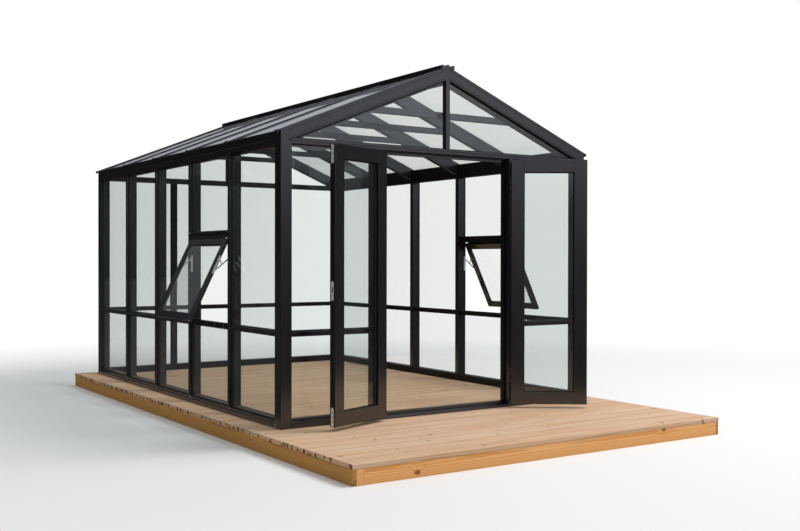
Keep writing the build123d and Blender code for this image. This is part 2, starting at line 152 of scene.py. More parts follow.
def pine(name, summer, winter, knot, worn, sawn, wear, ring_pitch=9 * MM, knot_size=13 * MM):
    material, tree, shader = new_material(name)
    summer, winter = linear(summer), linear(winter)
    cut = add(tree, "ShaderNodeAttribute", attribute_name="cut").outputs["Vector"]
    board = add(tree, "ShaderNodeAttribute", attribute_name="board").outputs["Fac"]
    shift = output(tree, "ShaderNodeCombineXYZ", {0: times(board, 97.0)})
    place = vectors("ADD", cut, shift)

    # Knots lie about 0.6 m apart along a board, and the grain swings round them.
    cells = vectors("MULTIPLY", place, (1 / knot_along, 1 / knot_across, 0.0))
    spots = add(tree, "ShaderNodeTexVoronoi", {"Vector": cells, "Scale": 1.0})
    apart = vectors("SUBTRACT", cells, spots.outputs["Position"])
    apart = vectors("MULTIPLY", apart, (knot_along * 0.7, knot_across, 0.0))
    chance = output(tree, "ShaderNodeSeparateColor", {0: spots.outputs["Color"]})
    size = times(spread(chance, 0.25, 1.0), knot_size)
    inside = maths("DIVIDE", vectors("LENGTH", apart), plus(size, 0.0001))
    swing = times(spread(inside, 4.0, 0.8), times(size, 1.6))

    # The pith lies under the board, off its middle, so that the rings come out as long flames.
    off_middle = maths("SUBTRACT", maths("FRACT", times(board, 13.7)), 0.5)
    off_middle = times(off_middle, 0.12)
    pith = output(tree, "ShaderNodeCombineXYZ", {1: plus(off_middle, swing), 2: 0.045})
    along = vectors("MULTIPLY", vectors("ADD", place, pith), (0.06, 1.0, 1.0))
    rings = add(tree, "ShaderNodeTexWave", {
        "Vector": along, "Scale": 2 * math.pi / 20 / ring_pitch, "Distortion": 9.0, "Detail": 2.0,
        "Detail Scale": 0.35, "Detail Roughness": 0.45},
        wave_type="RINGS", rings_direction="X").outputs["Fac"]
    fibre = noise(place, 1.0, 3.0, 0.6, (9.0, 420.0, 420.0))
    lines = times(spread(rings, 0.35, 0.95), plus(0.45, fibre))

    patches = noise(place, 1.0, 4.0, 0.55, (1.4, 9.0, 9.0))
    tone = maths("FRACT", times(board, 7.3))
    weather = times(spread(patches, 0.3, 0.75), 0.7)
    weather = plus(weather, times(tone, 0.3))
    wood = mixed(lines, summer, winter)
    wood = mixed(times(weather, wear), wood, linear(worn))
    wood = mixed(times(spread(fibre, 0.62, 0.8), 0.25), wood, winter)
    wood = mixed(times(spread(inside, 1.1, 0.75), 0.85), wood, linear(knot))

    # Sawn ends show the rings end on, and are darkened in blots 25 mm across.
    ends = add(tree, "ShaderNodeAttribute", attribute_name="sawn").outputs["Fac"]
    blots = noise(place, 1.0, 3.0, 0.6, (8.0, 26.0, 14.0))
    end_wood = mixed(times(rings, 0.5), summer, winter)
    end_wood = mixed(spread(blots, 0.5, 0.58, 0.12, 0.95), end_wood, linear(sawn))
    height = maths("SUBTRACT", times(fibre, 0.5), times(lines, 0.5))
    feed(shader, {
        "Base Color": mixed(ends, wood, end_wood), "IOR": 1.5, "Specular IOR Level": 0.2,
        "Roughness": plus(0.58, times(patches, 0.22)),
        "Normal": bumped(height, 0.35, 0.8 * MM)})
    return material


deck_pine = pine("sun_bleached_pine", "#d5ae8a", "#b98960", "#744526", "#d5bca6", "#5a3e24", 0.75)


def group(name, inputs):
    """A geometry node tree with named inputs, its input node and its output node."""
    tree = bpy.data.node_groups.new(name, "GeometryNodeTree")
    for label, kind in inputs.items():
        tree.interface.new_socket(name=label, in_out="INPUT", socket_type="NodeSocket" + kind)
    tree.interface.new_socket(name="Result", in_out="OUTPUT", socket_type="NodeSocketGeometry")
    return tree, add(tree, "NodeGroupInput").outputs, add(tree, "NodeGroupOutput")


def chance_of(tree, seed, low=0.0):
    """A random number up to one for each piece."""
    sockets = {2: low, 3: 1.0, "Seed": seed}
    return add(tree, "FunctionNodeRandomValue", sockets, data_type="FLOAT").outputs[1]


def stored(tree, shape, name, value, kind, domain):
    """Keeps a value on a shape under a name."""
    sockets = {"Geometry": shape, "Name": name, "Value": value}
    return output(tree, "GeometryNodeStoreNamedAttribute", sockets, data_type=kind, domain=domain)


def closed(tree, out, copies, finish):
    """Ends a tree: its copies become one real mesh with a material."""
    real = output(tree, "GeometryNodeRealizeInstances", {"Geometry": copies})
    real = output(tree, "GeometryNodeSetMaterial", {"Geometry": real, "Material": finish})
    feed(out, {0: real})
    return tree


def plank_tree():
    """A row of equal planks, each with its own place in the log."""
    tree, given, out = group("planks in a row", {
        "Length": "Float", "Width": "Float", "Thickness": "Float", "Arris": "Float",
        "Count": "Int", "First": "Vector", "Step": "Vector", "Turn": "Rotation",
        "Wander": "Float", "Seed": "Int", "Finish": "Material"})
    half = times(given["Length"], 0.5)
    line = output(tree, "GeometryNodeCurvePrimitiveLine", {
        "Start": output(tree, "ShaderNodeCombineXYZ", {0: times(half, -1.0)}),
        "End": output(tree, "ShaderNodeCombineXYZ", {0: half})})
    section = output(tree, "GeometryNodeCurvePrimitiveQuadrilateral",
                     {"Width": given["Width"], "Height": given["Thickness"]})
    section = output(tree, "GeometryNodeFilletCurve",
                     {"Curve": section, "Radius": given["Arris"], "Count": 3}, mode="POLY")
    plank = output(tree, "GeometryNodeCurveToMesh",
                   {"Curve": line, "Profile Curve": section, "Fill Caps": True})
    where = output(tree, "GeometryNodeInputPosition")
    plank = stored(tree, plank, "cut", where, "FLOAT_VECTOR", "POINT")
    facing = output(tree, "ShaderNodeSeparateXYZ", {0: output(tree, "GeometryNodeInputNormal")})
    is_end = maths("GREATER_THAN", maths("ABSOLUTE", facing), 0.9)
    plank = stored(tree, plank, "sawn", is_end, "FLOAT", "FACE")
    points = output(tree, "GeometryNodeMeshLine", {
        "Count": given["Count"], "Start Location": given["First"], "Offset": given["Step"]})
    copies = output(tree, "GeometryNodeInstanceOnPoints",
                    {"Points": points, "Instance": plank, "Rotation": given["Turn"]})
    copies = stored(tree, copies, "board", chance_of(tree, given["Seed"]), "FLOAT", "INSTANCE")
    slide = times(chance_of(tree, given["Seed"], -1.0), given["Wander"])
    copies = output(tree, "GeometryNodeTranslateInstances", {
        "Instances": copies, "Translation": output(tree, "ShaderNodeCombineXYZ", {0: slide})})
    return closed(tree, out, copies, given["Finish"])


def shaded(mesh, limit=35):
    """Smooth where faces meet gently and crisp at real edges."""
    mesh.polygons.foreach_set("use_smooth", [True] * len(mesh.polygons))
    mesh.set_sharp_from_angle(angle=math.radians(limit))


def in_scene(name, data):
    """A new object, put into the scene."""
    thing = bpy.data.objects.new(name, data)
    bpy.context.scene.collection.objects.link(thing)
    return thing


def evaluated(piece, **keep):
    """The mesh of a piece with its modifiers worked in."""
    graph = bpy.context.evaluated_depsgraph_get()
    return bpy.data.meshes.new_from_object(piece.evaluated_get(graph), depsgraph=graph, **keep)


def grown(name, tree, values, base=None):
    """What a geometry node tree makes, as a plain mesh with no modifier left on it."""
    piece = in_scene(name, base or bpy.data.meshes.new(name))
    maker = piece.modifiers.new("maker", "NODES")
    maker.node_group = tree
    for socket in tree.interface.items_tree:
        if socket.in_out == "INPUT" and socket.name in values:
            maker[socket.identifier] = values[socket.name]
    mesh = evaluated(piece, preserve_all_data_layers=True)
    piece.modifiers.clear()
    piece.data = mesh
    mesh.name = name
    shaded(mesh)
    return piece


def fitted(piece, body, slot, *nodes):
    """Hands a finished piece over: what it moves with, and the nodes it stands for. Its slot is not
    used.
    """
    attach(piece, body)
    if nodes:
        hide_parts(*nodes)
    return piece


planks = plank_tree()
boards_low, boards_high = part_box("deck_boards")
board_pitch = (boards_high.y - boards_low.y + board_gap) / board_count
board_width = board_pitch - board_gap
board_z = (boards_low.z + boards_high.z) / 2
deck_boards = grown("deck_board_planks", planks, {
    "Length": boards_high.x - boards_low.x - 2 * board_wander, "Width": board_width,
    "Thickness": boards_high.z - boards_low.z, "Arris": board_arris, "Count": board_count,
    "First": ((boards_low.x + boards_high.x) / 2, boards_low.y + board_width / 2, board_z),
    "Step": (0, board_pitch, 0), "Wander": board_wander, "Seed": 11, "Finish": deck_pine})
fitted(deck_boards, "house", "deck_board_timber", "deck_boards")

# JOISTS AND FASCIAS. Sawn pine joists carry the boards, and planed pine planks close the deck
# all round. The front plank is new and still orange, the side planks have gone brown, and the
# front plank is pieced out with a short end at the near corner.
joist_pine = pine("sawn_pine", "#c9a678", "#a37b4b", "#6a4525", "#9c8468", "#8a6a45", 0.5)
front_pine = pine("new_orange_pine", "#f2b678", "#dc984f", "#8f5026", "#eab078", "#bf7f48", 0.35,
                  knot_size=20 * MM)
side_pine = pine("browned_pine", "#c4904c", "#a06f38", "#5a391a", "#ae8046", "#926332", 0.6,
                 knot_size=17 * MM)
plank_arris = 2 * MM
fascia_thickness = 28 * MM
joist_thickness = 45 * MM
joist_count = 7
fascia_joint = 51 * MM
quarter = math.pi / 2


def plank_row(name, low, high, thickness, count, axis, finish, seed, slot, *nodes):
    """Planks set on edge that fill a box, side by side along one axis."""
    size = high - low
    step = Vector((0, 0, 0))
    step[axis] = (size[axis] - thickness) / max(count - 1, 1)
    start = (low + high) / 2
    start[axis] = low[axis] + thickness / 2
    piece = grown(name, planks, {
        "Length": size[1 - axis], "Width": size.z, "Thickness": thickness, "Arris": plank_arris,
        "Count": count, "First": start, "Step": step, "Turn": (quarter, 0, 0 if axis else quarter),
        "Wander": 0.0, "Seed": seed, "Finish": finish})
    fitted(piece, "house", slot, *nodes)


plank_row("deck_joist_planks", *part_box("deck_joists"), joist_thickness, joist_count, 0,
          joist_pine, 3, "joist_timber", "deck_joists")
plank_row("deck_side_planks", *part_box("deck_side_fascias"), fascia_thickness, 2, 0,
          side_pine, 5, "weathered_pine", "deck_side_fascias")
low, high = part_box("deck_end_fascias")
front_high = Vector((high.x, low.y + fascia_thickness, high.z))
joint_high = Vector((low.x + fascia_joint - MM, front_high.y, high.z))
back_low = Vector((low.x, high.y - fascia_thickness, low.z))
for name, start, end, seed, *nodes in (
        ("deck_front_plank", low + Vector((fascia_joint, 0, 0)), front_high, 8, "deck_end_fascias"),
        ("deck_front_plank_end", low, joint_high, 21),
        ("deck_back_plank", back_low, high, 14)):
    plank_row(name, start, end, fascia_thickness, 1, 1, front_pine, seed, "fresh_pine", *nodes)

# DECK SCREWS. Two countersunk steel screws hold each board to each joist, driven flush with
# the surface. Their heads are turned discs with a six-lobed drive, dulled by the weather.
head_radius = 4 * MM


def fixing_tree():
    """Puts one small part on each point, turned to the point's facing and spun at random."""
    tree, given, out = group("small parts on points", {
        "Points": "Geometry", "Part": "Object", "Spin": "Float", "Seed": "Int",
        "Finish": "Material"})
    part = add(tree, "GeometryNodeObjectInfo", {"Object": given["Part"]}).outputs["Geometry"]
    facing = output(tree, "GeometryNodeInputNamedAttribute", {"Name": "facing"},
                    data_type="FLOAT_VECTOR")
    turn = output(tree, "FunctionNodeAlignRotationToVector", {"Vector": facing}, axis="Z")
    angle = times(chance_of(tree, given["Seed"]), given["Spin"])
    spin = output(tree, "ShaderNodeCombineXYZ", {2: angle})
    turn = output(tree, "FunctionNodeRotateRotation", {"Rotation": turn, "Rotate By": spin},
                  rotation_space="LOCAL")
    copies = output(tree, "GeometryNodeInstanceOnPoints",
                    {"Points": given["Points"], "Instance": part, "Rotation": turn})
    return closed(tree, out, copies, given["Finish"])


fixings = fixing_tree()


def placed(name, part, places, finish, body, slot, spin=6.28, seed=1):
    """Small parts at a list of (point, facing), as one piece."""
    points = bpy.data.meshes.new(name)
    points.from_pydata([tuple(point) for point, facing in places], [], [])
    facings = points.attributes.new("facing", "FLOAT_VECTOR", "POINT")
    for item, (point, facing) in zip(facings.data, places):
        item.vector = facing
    values = {"Part": part, "Spin": spin, "Seed": seed, "Finish": finish}
    return fitted(grown(name, fixings, values, points), body, slot)


def turned(name, profile, sides=12, drive=0.0):
    """A small turned part with its axis on Z, from (radius, height) steps, with a star drive."""
    levels = [([radius] * sides, height) for radius, height in profile]
    if drive:
        star = [drive * (1.0 if i % 2 else 0.66) for i in range(sides)]
        levels += [(star, profile[-1][1]), (star, profile[-1][1] - drive * 0.6)]
    turns = [2 * math.pi * i / sides for i in range(sides)]
    form = bmesh.new()
    rings = [[form.verts.new((reach * math.cos(turn), reach * math.sin(turn), height))
              for reach, turn in zip(reaches, turns)] for reaches, height in levels]
    for lower, upper in zip(rings, rings[1:]):
        for i in range(sides):
            j = (i + 1) % sides
            form.faces.new((lower[i], lower[j], upper[j], upper[i]))
    form.faces.new(rings[-1])
    form.faces.new(reversed(rings[0]))
    mesh = bpy.data.meshes.new(name)
    form.to_mesh(mesh)
    form.free()
    return bpy.data.objects.new(name, mesh)


# Steel, zinc plated or stainless, turned and brushed: bright grey, with a dull film of weather.
def steel(name, colour, film, roughness):
    material, tree, shader = new_material(name)
    where = add(tree, "ShaderNodeTexCoord").outputs["Object"]
    scratch = noise(where, 1.0, stretch=(900.0, 900.0, 60.0))
    dull = times(spread(noise(where, 90.0, 3.0), 0.4, 0.7), 0.6)
    feed(shader, {
        "Base Color": mixed(dull, linear(colour), linear(film)), "Metallic": 0.7,
        "Roughness": plus(roughness, times(scratch, 0.2)),
        "Normal": bumped(scratch, 0.25, 0.1 * MM)})
    return material


weathered_zinc = steel("weathered_zinc_plate", "#8f8a83", "#5d554b", 0.4)
brushed_steel = steel("brushed_stainless_steel", "#f4f4f2", "#dddcd8", 0.5)
deck_screw = turned("deck_screw", [(head_radius * 0.8, -1 * MM), (head_radius, -0.3 * MM),
                    (head_radius * 0.92, 0.2 * MM)], drive=head_radius * 0.55)
screw_shift = 4 * MM
screw_reach = 45 * MM
joists_low, joists_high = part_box("deck_joists")
joist_xs = [joists_low.x + joist_thickness / 2
            + i * (joists_high.x - joists_low.x - joist_thickness) / (joist_count - 1)
            for i in range(joist_count)]
deck_places = []
for index in range(board_count):
    middle = boards_low.y + board_width / 2 + index * board_pitch
    for x in joist_xs:
        for side in (-1, 1):
            spot = (x + side * screw_shift, middle + side * screw_reach, boards_high.z)
            deck_places.append((Vector(spot), (0, 0, 1)))
placed("deck_screws", deck_screw, deck_places, weathered_zinc, "house", "bare_steel")

# SILLS. Extruded aluminium bars, powder coated black, lie on the deck under every wall. Each
# has a stepped outer face that sheds rain, a bead at the foot of the glass, and a flat seat
# behind it for the pane. They are cut square, and their noses lap over the corner posts.
house_low, house_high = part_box("corner_posts")
front_y = house_low.y
deck_top = boards_high.z
house_length = (house_high.y - front_y) / MM
half = house_high.x / MM
lip = 6.0
glass_set = 28.0
frame_depth = 100.0
sill_height = 62.0
corner_width = 94.0
wall_start = 100.0
wall_end = house_length - 100.0
door_half = 619.0
door_post_edge = 669.0


def row(x, y, z):
    """A point from house millimetres: x from the ridge line, y from the front, z above the deck."""
    return Vector((x * MM, front_y + y * MM, deck_top + z * MM))


def shifted(wall, sign, middle=0.0):
    """A wall whose distances run from another point, either way."""
    return lambda along, depth, up: wall(middle + sign * along, depth, up)


def side_wall(side):
    return lambda along, depth, up: row(side * (half - depth), along, up)


def end_wall(side):
    return lambda along, depth, up: row(along, depth if side < 0 else house_length - depth, up)


def rounded(corners, steps=3):
    """A closed outline in which each corner (a, b, radius) is rounded."""
    outline = []
    count = len(corners)
    for index, corner in enumerate(corners):
        a, b = corner[:2]
        radius = corner[2] if len(corner) > 2 else 0
        here = Vector((a, b))
        before = Vector(corners[index - 1][:2]) - here
        after = Vector(corners[(index + 1) % count][:2]) - here
        if not radius:
            outline.append((a, b))
            continue
        bend = before.angle(after)
        reach = min(radius / math.tan(bend / 2), before.length * 0.49, after.length * 0.49)
        start, end = here + before.normalized() * reach, here + after.normalized() * reach
        for step in range(steps + 1):
            share = step / steps
            near = start.lerp(here, share)
            far = here.lerp(end, share)
            outline.append(tuple(near.lerp(far, share)))
    return outline


def run(form, outline, place, start, end):
    """Adds one bar: an outline drawn along a line, cut at each end at a height or by a rule."""
    def cut_at(limit):
        return [form.verts.new(place(a, b, limit(a, b) if callable(limit) else limit))
                for a, b in outline]
    starts, ends = cut_at(start), cut_at(end)
    faces = []
    for i in range(len(outline)):
        j = (i + 1) % len(outline)
        faces.append(form.faces.new((starts[i], starts[j], ends[j], ends[i])))
    faces.append(form.faces.new(list(reversed(starts))))
    faces.append(form.faces.new(ends))
    return faces


def lapped(form, nose, body, place, start, end):
    """One bar whose outer nose laps 6 mm over the bars that it meets at both ends."""
    run(form, nose, place, start - lip, end + lip)
    for face in run(form, body, place, start, end):
        face.material_index = 1


def level(wall):
    """Places a level bar in a wall, a sash or a door leaf, drawn as (depth, up)."""
    return lambda depth, up, along: wall(along, depth, up)


def baked(piece, kind, **settings):
    """Works one modifier into the mesh of a piece."""
    change = piece.modifiers.new(kind.lower(), kind)
    for key, value in settings.items():
        setattr(change, key, value)
    name = piece.data.name
    piece.data = evaluated(piece)
    piece.modifiers.clear()
    piece.data.name = name


def finished(name, form, finish, edge=0.8 * MM):
    """The bars in a form as one piece, with every arris eased and every flat shaded flat."""
    bmesh.ops.recalc_face_normals(form, faces=form.faces)
    mesh = bpy.data.meshes.new(name)
    form.to_mesh(mesh)
    form.free()
    mesh.materials.append(finish)
    if any(face.material_index for face in mesh.polygons):
        mesh.materials.append(inner_coat)
    piece = in_scene(name, mesh)
    if edge:
        baked(piece, "BEVEL", width=edge, segments=2, limit_method="ANGLE",
              angle_limit=math.radians(40))
    shaded(piece.data)
    baked(piece, "WEIGHTED_NORMAL", weight=100, keep_sharp=True)
    return piece


# Aluminium, powder coated satin black: a thick plastic film baked on, with a faint orange-peel
# skin drawn at 5 mm, a soft shine, and rain dust on ledges and at the feet. The structural half
# of each bar, behind the glass, is drawn darker and duller than the cover in front of it.
def powder_coat(name, base, dusty, roughness, shine):
    material, tree, shader = new_material(name)
    where = add(tree, "ShaderNodeTexCoord").outputs["Object"]
    facing = add(tree, "ShaderNodeNewGeometry").outputs["Normal"]
    up = add(tree, "ShaderNodeSeparateXYZ", {0: facing}).outputs[2]
    height = add(tree, "ShaderNodeSeparateXYZ", {0: where}).outputs[2]
    cloud = noise(where, 1.0, 5.0, 0.62, (7.0, 7.0, 2.2))
    ledge = times(spread(up, 0.55, 0.95), 0.06)
    foot = times(spread(height, 0.34, 0.13), 0.07)
    speck = plus(0.6, times(noise(where, 420.0), 0.8))
    dust = times(plus(ledge, foot), spread(cloud, 0.3, 0.7))
    dust = times(dust, speck)
    tone = mixed(cloud, linear(base), linear(base, 1.35))
    rough = plus(roughness, times(cloud, 0.12))
    feed(shader, {
        "Base Color": mixed(dust, tone, linear(dusty)),
        "Roughness": plus(rough, times(dust, 0.3)),
        "Normal": bumped(noise(where, 200.0), 0.06, 0.3 * MM),
        "IOR": 1.5, "Specular IOR Level": shine})
    return material


black_coat = powder_coat("satin_black_powder_coat", "#0e0f11", "#605f5d", 0.15, 1.0)
# The half behind the glass gets a darker base colour and less shine than the cover in front.
inner_coat = powder_coat("dull_black_powder_coat", "#090a0a", "#55534e", 0.42, 0.3)


def coated(name, form, *nodes, body="house", **how):
    """The bars in a form, coated black and handed over."""
    fitted(finished(name, form, black_coat, **how), body, "black_frame", *nodes)


sill_nose = rounded([(0, 0, 1.5), (0, 30, 3), (11, 34, 1), (12, 53, 3), (24, 56), (glass_set, 56),
                     (glass_set, 0)])
sill_body = rounded([(glass_set, 0), (glass_set, sill_height), (frame_depth, sill_height, 2),
                     (frame_depth, 0)])
form = bmesh.new()
for side in (-1, 1):
    lapped(form, sill_nose, sill_body, level(side_wall(side)), wall_start, wall_end)
coated("side_sill_bars", form, "side_sills")
tie_reach = half - corner_width
front_bays = [(-tie_reach, -door_post_edge), (door_post_edge, tie_reach)]
form = bmesh.new()
for bay in front_bays:
    lapped(form, sill_nose, sill_body, level(end_wall(-1)), *bay)
coated("front_sill_bars", form, "front_sills")
form = bmesh.new()
lapped(form, sill_nose, sill_body, level(end_wall(1)), -tie_reach, tie_reach)
coated("back_sill_bar", form, "back_sill")

# DOOR THRESHOLD. One low aluminium extrusion screwed to the deck between the door posts. Its
# front is rounded, its tread is ribbed against slipping, and its inner upstand is the stop that
# the closed leaves meet.
stop_depth = 56.0
stop_lip = 10.0
tread = [(0, 0), (0, 14, 5), (8, 19, 2)]
for rib in range(4):
    rib_start = 12 + rib * 10
    tread += [(rib_start, 18), (rib_start + 1, 20), (rib_start + 5, 20), (rib_start + 6, 18)]
tread += [(55, 19), (stop_depth, 20), (stop_depth, 43, 2), (62, 45, 2), (66, 43), (90, 43),
          (94, 45, 2), (frame_depth, 43, 3), (frame_depth, 0)]
form = bmesh.new()
run(form, rounded(tread), level(end_wall(-1)), -door_half, door_half)
coated("door_threshold_bar", form, "door_threshold", edge=0.4 * MM)

# CORNER POSTS. Aluminium corner extrusions that stand on the deck and carry both walls. The
# head is cut to the roof line, let down behind its outer lip for the roof glass, and notched
# where the gable rafter butts against it.
roof_rise = 587.0
ridge_height = 2687.0
slope = roof_rise / half
slope_cos = math.cos(math.atan(slope))
roof_set = 8.0
gable_face_drop = 90.0
rafter_drop = 108.0
corner_head_width = 56.0
eave_lip = 6.0
cut_out = -5.0
cut_in = 105.0
cut_over = 60.0


def roof_z(x, rise):
    return ridge_height - slope * abs(x) + rise / slope_cos


def sloped(side, wall_side):
    """Places a bar that lies along a roof slope in an end wall, drawn as (depth, rise)."""
    wall = end_wall(wall_side)
    return lambda depth, rise, x: wall(side * x, depth, roof_z(x, rise))


def carved(piece, cutter):
    """The piece less another object, which is then thrown away."""
    baked(piece, "BOOLEAN", operation="DIFFERENCE", object=cutter)
    bpy.data.objects.remove(cutter)
    return piece


def plain(name, form):
    """The bars in a form as an object with nothing eased, for cutting."""
    return finished(name, form, black_coat, edge=0)


def gathered(*parts):
    """The meshes of cut parts as one form."""
    form = bmesh.new()
    for part in parts:
        form.from_mesh(part.data)
        bpy.data.objects.remove(part)
    return form


def joined(*parts):
    """Cut parts as one form, with the cuts' extra edges dissolved."""
    form = gathered(*parts)
    bmesh.ops.dissolve_limit(form, angle_limit=math.radians(1), verts=form.verts, edges=form.edges)
    return form


def notches(outline, start, end):
    """Cutters along the four roof slopes of the end walls."""
    form = bmesh.new()
    for side in (-1, 1):
        for wall_side in (-1, 1):
            run(form, outline, sloped(side, wall_side), start, end)
    return plain("notches", form)


rafter_notch = [(cut_out, cut_over), (cut_in, cut_over), (cut_in, -rafter_drop),
                (glass_set, -rafter_drop), (glass_set, -gable_face_drop),
                (cut_out, -gable_face_drop)]
glass_notch = [(glass_set, cut_over), (cut_in, cut_over), (cut_in, -roof_set),
               (glass_set, -roof_set)]
cover_width = corner_width - lip
post_plan = rounded([(0, 0, 5), (cover_width, 0, 3), (cover_width, glass_set),
                     (corner_width, glass_set), (corner_width, frame_depth, 2),
                     (glass_set, frame_depth), (glass_set, corner_width), (0, corner_width, 3)])
form = bmesh.new()
for side in (-1, 1):
    for wall_side in (-1, 1):
        def corner(a, b, up, wall=end_wall(wall_side), side=side):
            return wall(side * (half - a), b, up)
        run(form, post_plan, corner, 0, lambda a, b: roof_z(half - a, 0))
posts = carved(plain("posts", form), notches(rafter_notch, 0, half - corner_head_width))
posts = carved(posts, notches(glass_notch, half - 120, half - eave_lip))
coated("corner_post_bars", joined(posts), "corner_posts")

# SIDE POSTS. Aluminium glazing posts, four to a long wall, all from one extrusion: a rounded
# cover outside, a rebate each side for the panes, and a deep box inside that carries the roof.
first_post_y = 886.0
post_pitch = 796.0
post_ys = [first_post_y + i * post_pitch for i in range(4)]
eave_bottom = 2000.0
post_half = 24.0
nose_half = 18.0


def flipped(corners, sign=-1):
    """Corners mirrored across the middle line."""
    return [(sign * corner[0], *corner[1:]) for corner in corners]


def twin(corners):
    """A symmetrical outline from the corners of its right half."""
    return rounded(corners + flipped(reversed(corners)))


post_nose = twin([(nose_half, 0, 5), (nose_half, 15), (nose_half - 1.5, 15.7),
                  (nose_half - 1.5, 18), (nose_half, 18.7), (nose_half, glass_set)])
post_body = twin([(post_half, glass_set, 0.6), (post_half, frame_depth, 3)])
form = bmesh.new()
lapped(form, post_nose, post_body, lambda a, b, up: Vector((-b, a, up)) * MM, sill_height,
       eave_bottom)
post_bar = finished("side_post", form, black_coat)
bpy.context.scene.collection.objects.unlink(post_bar)


def row_tree():
    """Sets one bar on each point of a line along the house, and a second row turned about."""
    tree, given, out = group("bars in two rows", {
        "Bar": "Object", "Count": "Int", "First": "Vector", "Step": "Vector",
        "Finish": "Material"})
    part = add(tree, "GeometryNodeObjectInfo", {"Object": given["Bar"]}).outputs["Geometry"]
    across = vectors("MULTIPLY", given["First"], (-1.0, 1.0, 1.0))
    both = add(tree, "GeometryNodeJoinGeometry")
    for start, angle in ((given["First"], 0.0), (across, math.pi)):
        line = output(tree, "GeometryNodeMeshLine", {
            "Count": given["Count"], "Start Location": start, "Offset": given["Step"]})
        copies = output(tree, "GeometryNodeInstanceOnPoints",
                        {"Points": line, "Instance": part, "Rotation": (0.0, 0.0, angle)})
        feed(both, {0: copies})
    return closed(tree, out, both.outputs[0], given["Finish"])


side_posts = grown("side_post_bars", row_tree(), {
    "Bar": post_bar, "Count": 4, "First": row(half, first_post_y, 0),
    "Step": (0, post_pitch * MM, 0), "Finish": black_coat})
fitted(side_posts, "house", "black_frame", "side_posts")

# END WALL POSTS. The same coated aluminium: the two door posts have a stop for the leaves on
# their inner side, and the back wall's two posts hold glass on both sides.
tie_bottom = 2004.0
tie_top = 2056.0
tie_nose_top = tie_top - lip
nose_edge = door_post_edge - lip
door_nose = rounded([(nose_edge, 0, 4), (door_half, 0, 3), (door_half, glass_set),
                     (nose_edge, glass_set)])
door_body = rounded([(door_half, glass_set), (door_half, stop_depth),
                     (door_half - stop_lip, stop_depth, 1.5),
                     (door_half - stop_lip, frame_depth, 1.5),
                     (door_post_edge, frame_depth, 2), (door_post_edge, glass_set)])
form = bmesh.new()
for side in (-1, 1):
    at_door = shifted(end_wall(-1), side)
    run(form, door_nose, at_door, 0, tie_bottom + lip)
    for face in run(form, door_body, at_door, 0, tie_bottom):
        face.material_index = 1
coated("door_post_bars", form, "door_posts")
back_half = (door_post_edge - door_half) / 2
back_nose = twin([(back_half - lip, 0, 5), (back_half - lip, glass_set)])
back_body = twin([(back_half, glass_set, 0.6), (back_half, frame_depth, 2)])
form = bmesh.new()
for side in (-1, 1):
    at_back = shifted(end_wall(1), 1, side * (door_half + back_half))
    lapped(form, back_nose, back_body, at_back, sill_height, tie_bottom)
coated("back_post_bars", form, "back_posts")

# RAILS. Aluminium transoms that split each pane below waist height, and the heavier head rail
# over the opening window. They sit in the post rebates and hold the panes with the same lips.
# Under the window the rail's face is cut low, with an upstand behind it.
rail_bottom = 647.0
rail_top = 690.0
rail_depth = 78.0
vent_seat = 659.0
vent_head_bottom = 1363.0
vent_head_top = 1421.0


def slab(near, far, low, high, near_radius=0.0, far_radius=0.0):
    """Outline of a bar between two depths and two heights."""
    return rounded([(near, low, near_radius), (near, high, near_radius),
                    (far, high, far_radius), (far, low, far_radius)])


def rail_bar(form, wall, bay, nose_top=rail_top - lip):
    nose = slab(0, glass_set, rail_bottom + lip, nose_top, 4)
    body = slab(glass_set, rail_depth, rail_bottom, rail_top, 0, 2)
    lapped(form, nose, body, level(wall), *bay)


bay_starts = [wall_start] + [y + post_half for y in post_ys]
bay_ends = [y - post_half for y in post_ys] + [wall_end]
bays = list(zip(bay_starts, bay_ends))
vent_bay = bays[1]
form = bmesh.new()
for side in (-1, 1):
    for bay in bays:
        rail_bar(form, side_wall(side), bay, vent_seat if bay == vent_bay else rail_top - lip)
coated("side_rail_bars", form, "side_mid_rails")
head_nose = rounded([(0, vent_head_bottom, 2), (0, 1376, 1), (3, 1378, 1), (3, 1402, 1),
                     (0, 1405, 2), (0, 1415, 4), (glass_set, 1415),
                     (glass_set, vent_head_bottom)])
head_body = slab(glass_set, rail_depth, vent_head_bottom, vent_head_top, 0, 2)
form = bmesh.new()
for side in (-1, 1):
    lapped(form, head_nose, head_body, level(side_wall(side)), *vent_bay)
coated("vent_head_bars", form, "vent_head_rails")
back_bays = front_bays + [(-door_half, door_half)]
for name, wall_side, wall_bays in (("front", -1, front_bays), ("back", 1, back_bays)):
    form = bmesh.new()
    for bay in wall_bays:
        rail_bar(form, end_wall(wall_side), bay)
    coated(f"{name}_rail_bars", form, f"{name}_mid_rails")

# EAVE BEAMS. Deep aluminium extrusions that sit on the side posts and take the foot of every
# rafter. The outer face has a shadow groove along its length, and a thin lip stands in front
# of the roof glass.
def eave_z(depth, rise):
    return roof_z(half - depth, rise)


eave_nose = rounded([(0, 2006, 3), (0, 2040), (1.5, 2041.5), (1.5, 2043), (0, 2044.5),
                     (0, eave_z(0, 0), 2), (eave_lip, eave_z(eave_lip, 0), 1.5),
                     (eave_lip, eave_z(eave_lip, -roof_set)),
                     (glass_set, eave_z(glass_set, -roof_set)), (glass_set, 2006)])
eave_body = rounded([(glass_set, eave_bottom), (glass_set, eave_z(glass_set, -roof_set)),
                     (frame_depth, eave_z(frame_depth, -roof_set), 2),
                     (frame_depth, eave_bottom, 3)])
form = bmesh.new()
for side in (-1, 1):
    lapped(form, eave_nose, eave_body, level(side_wall(side)), wall_start, wall_end)
coated("eave_beam_bars", form, "eave_beams")

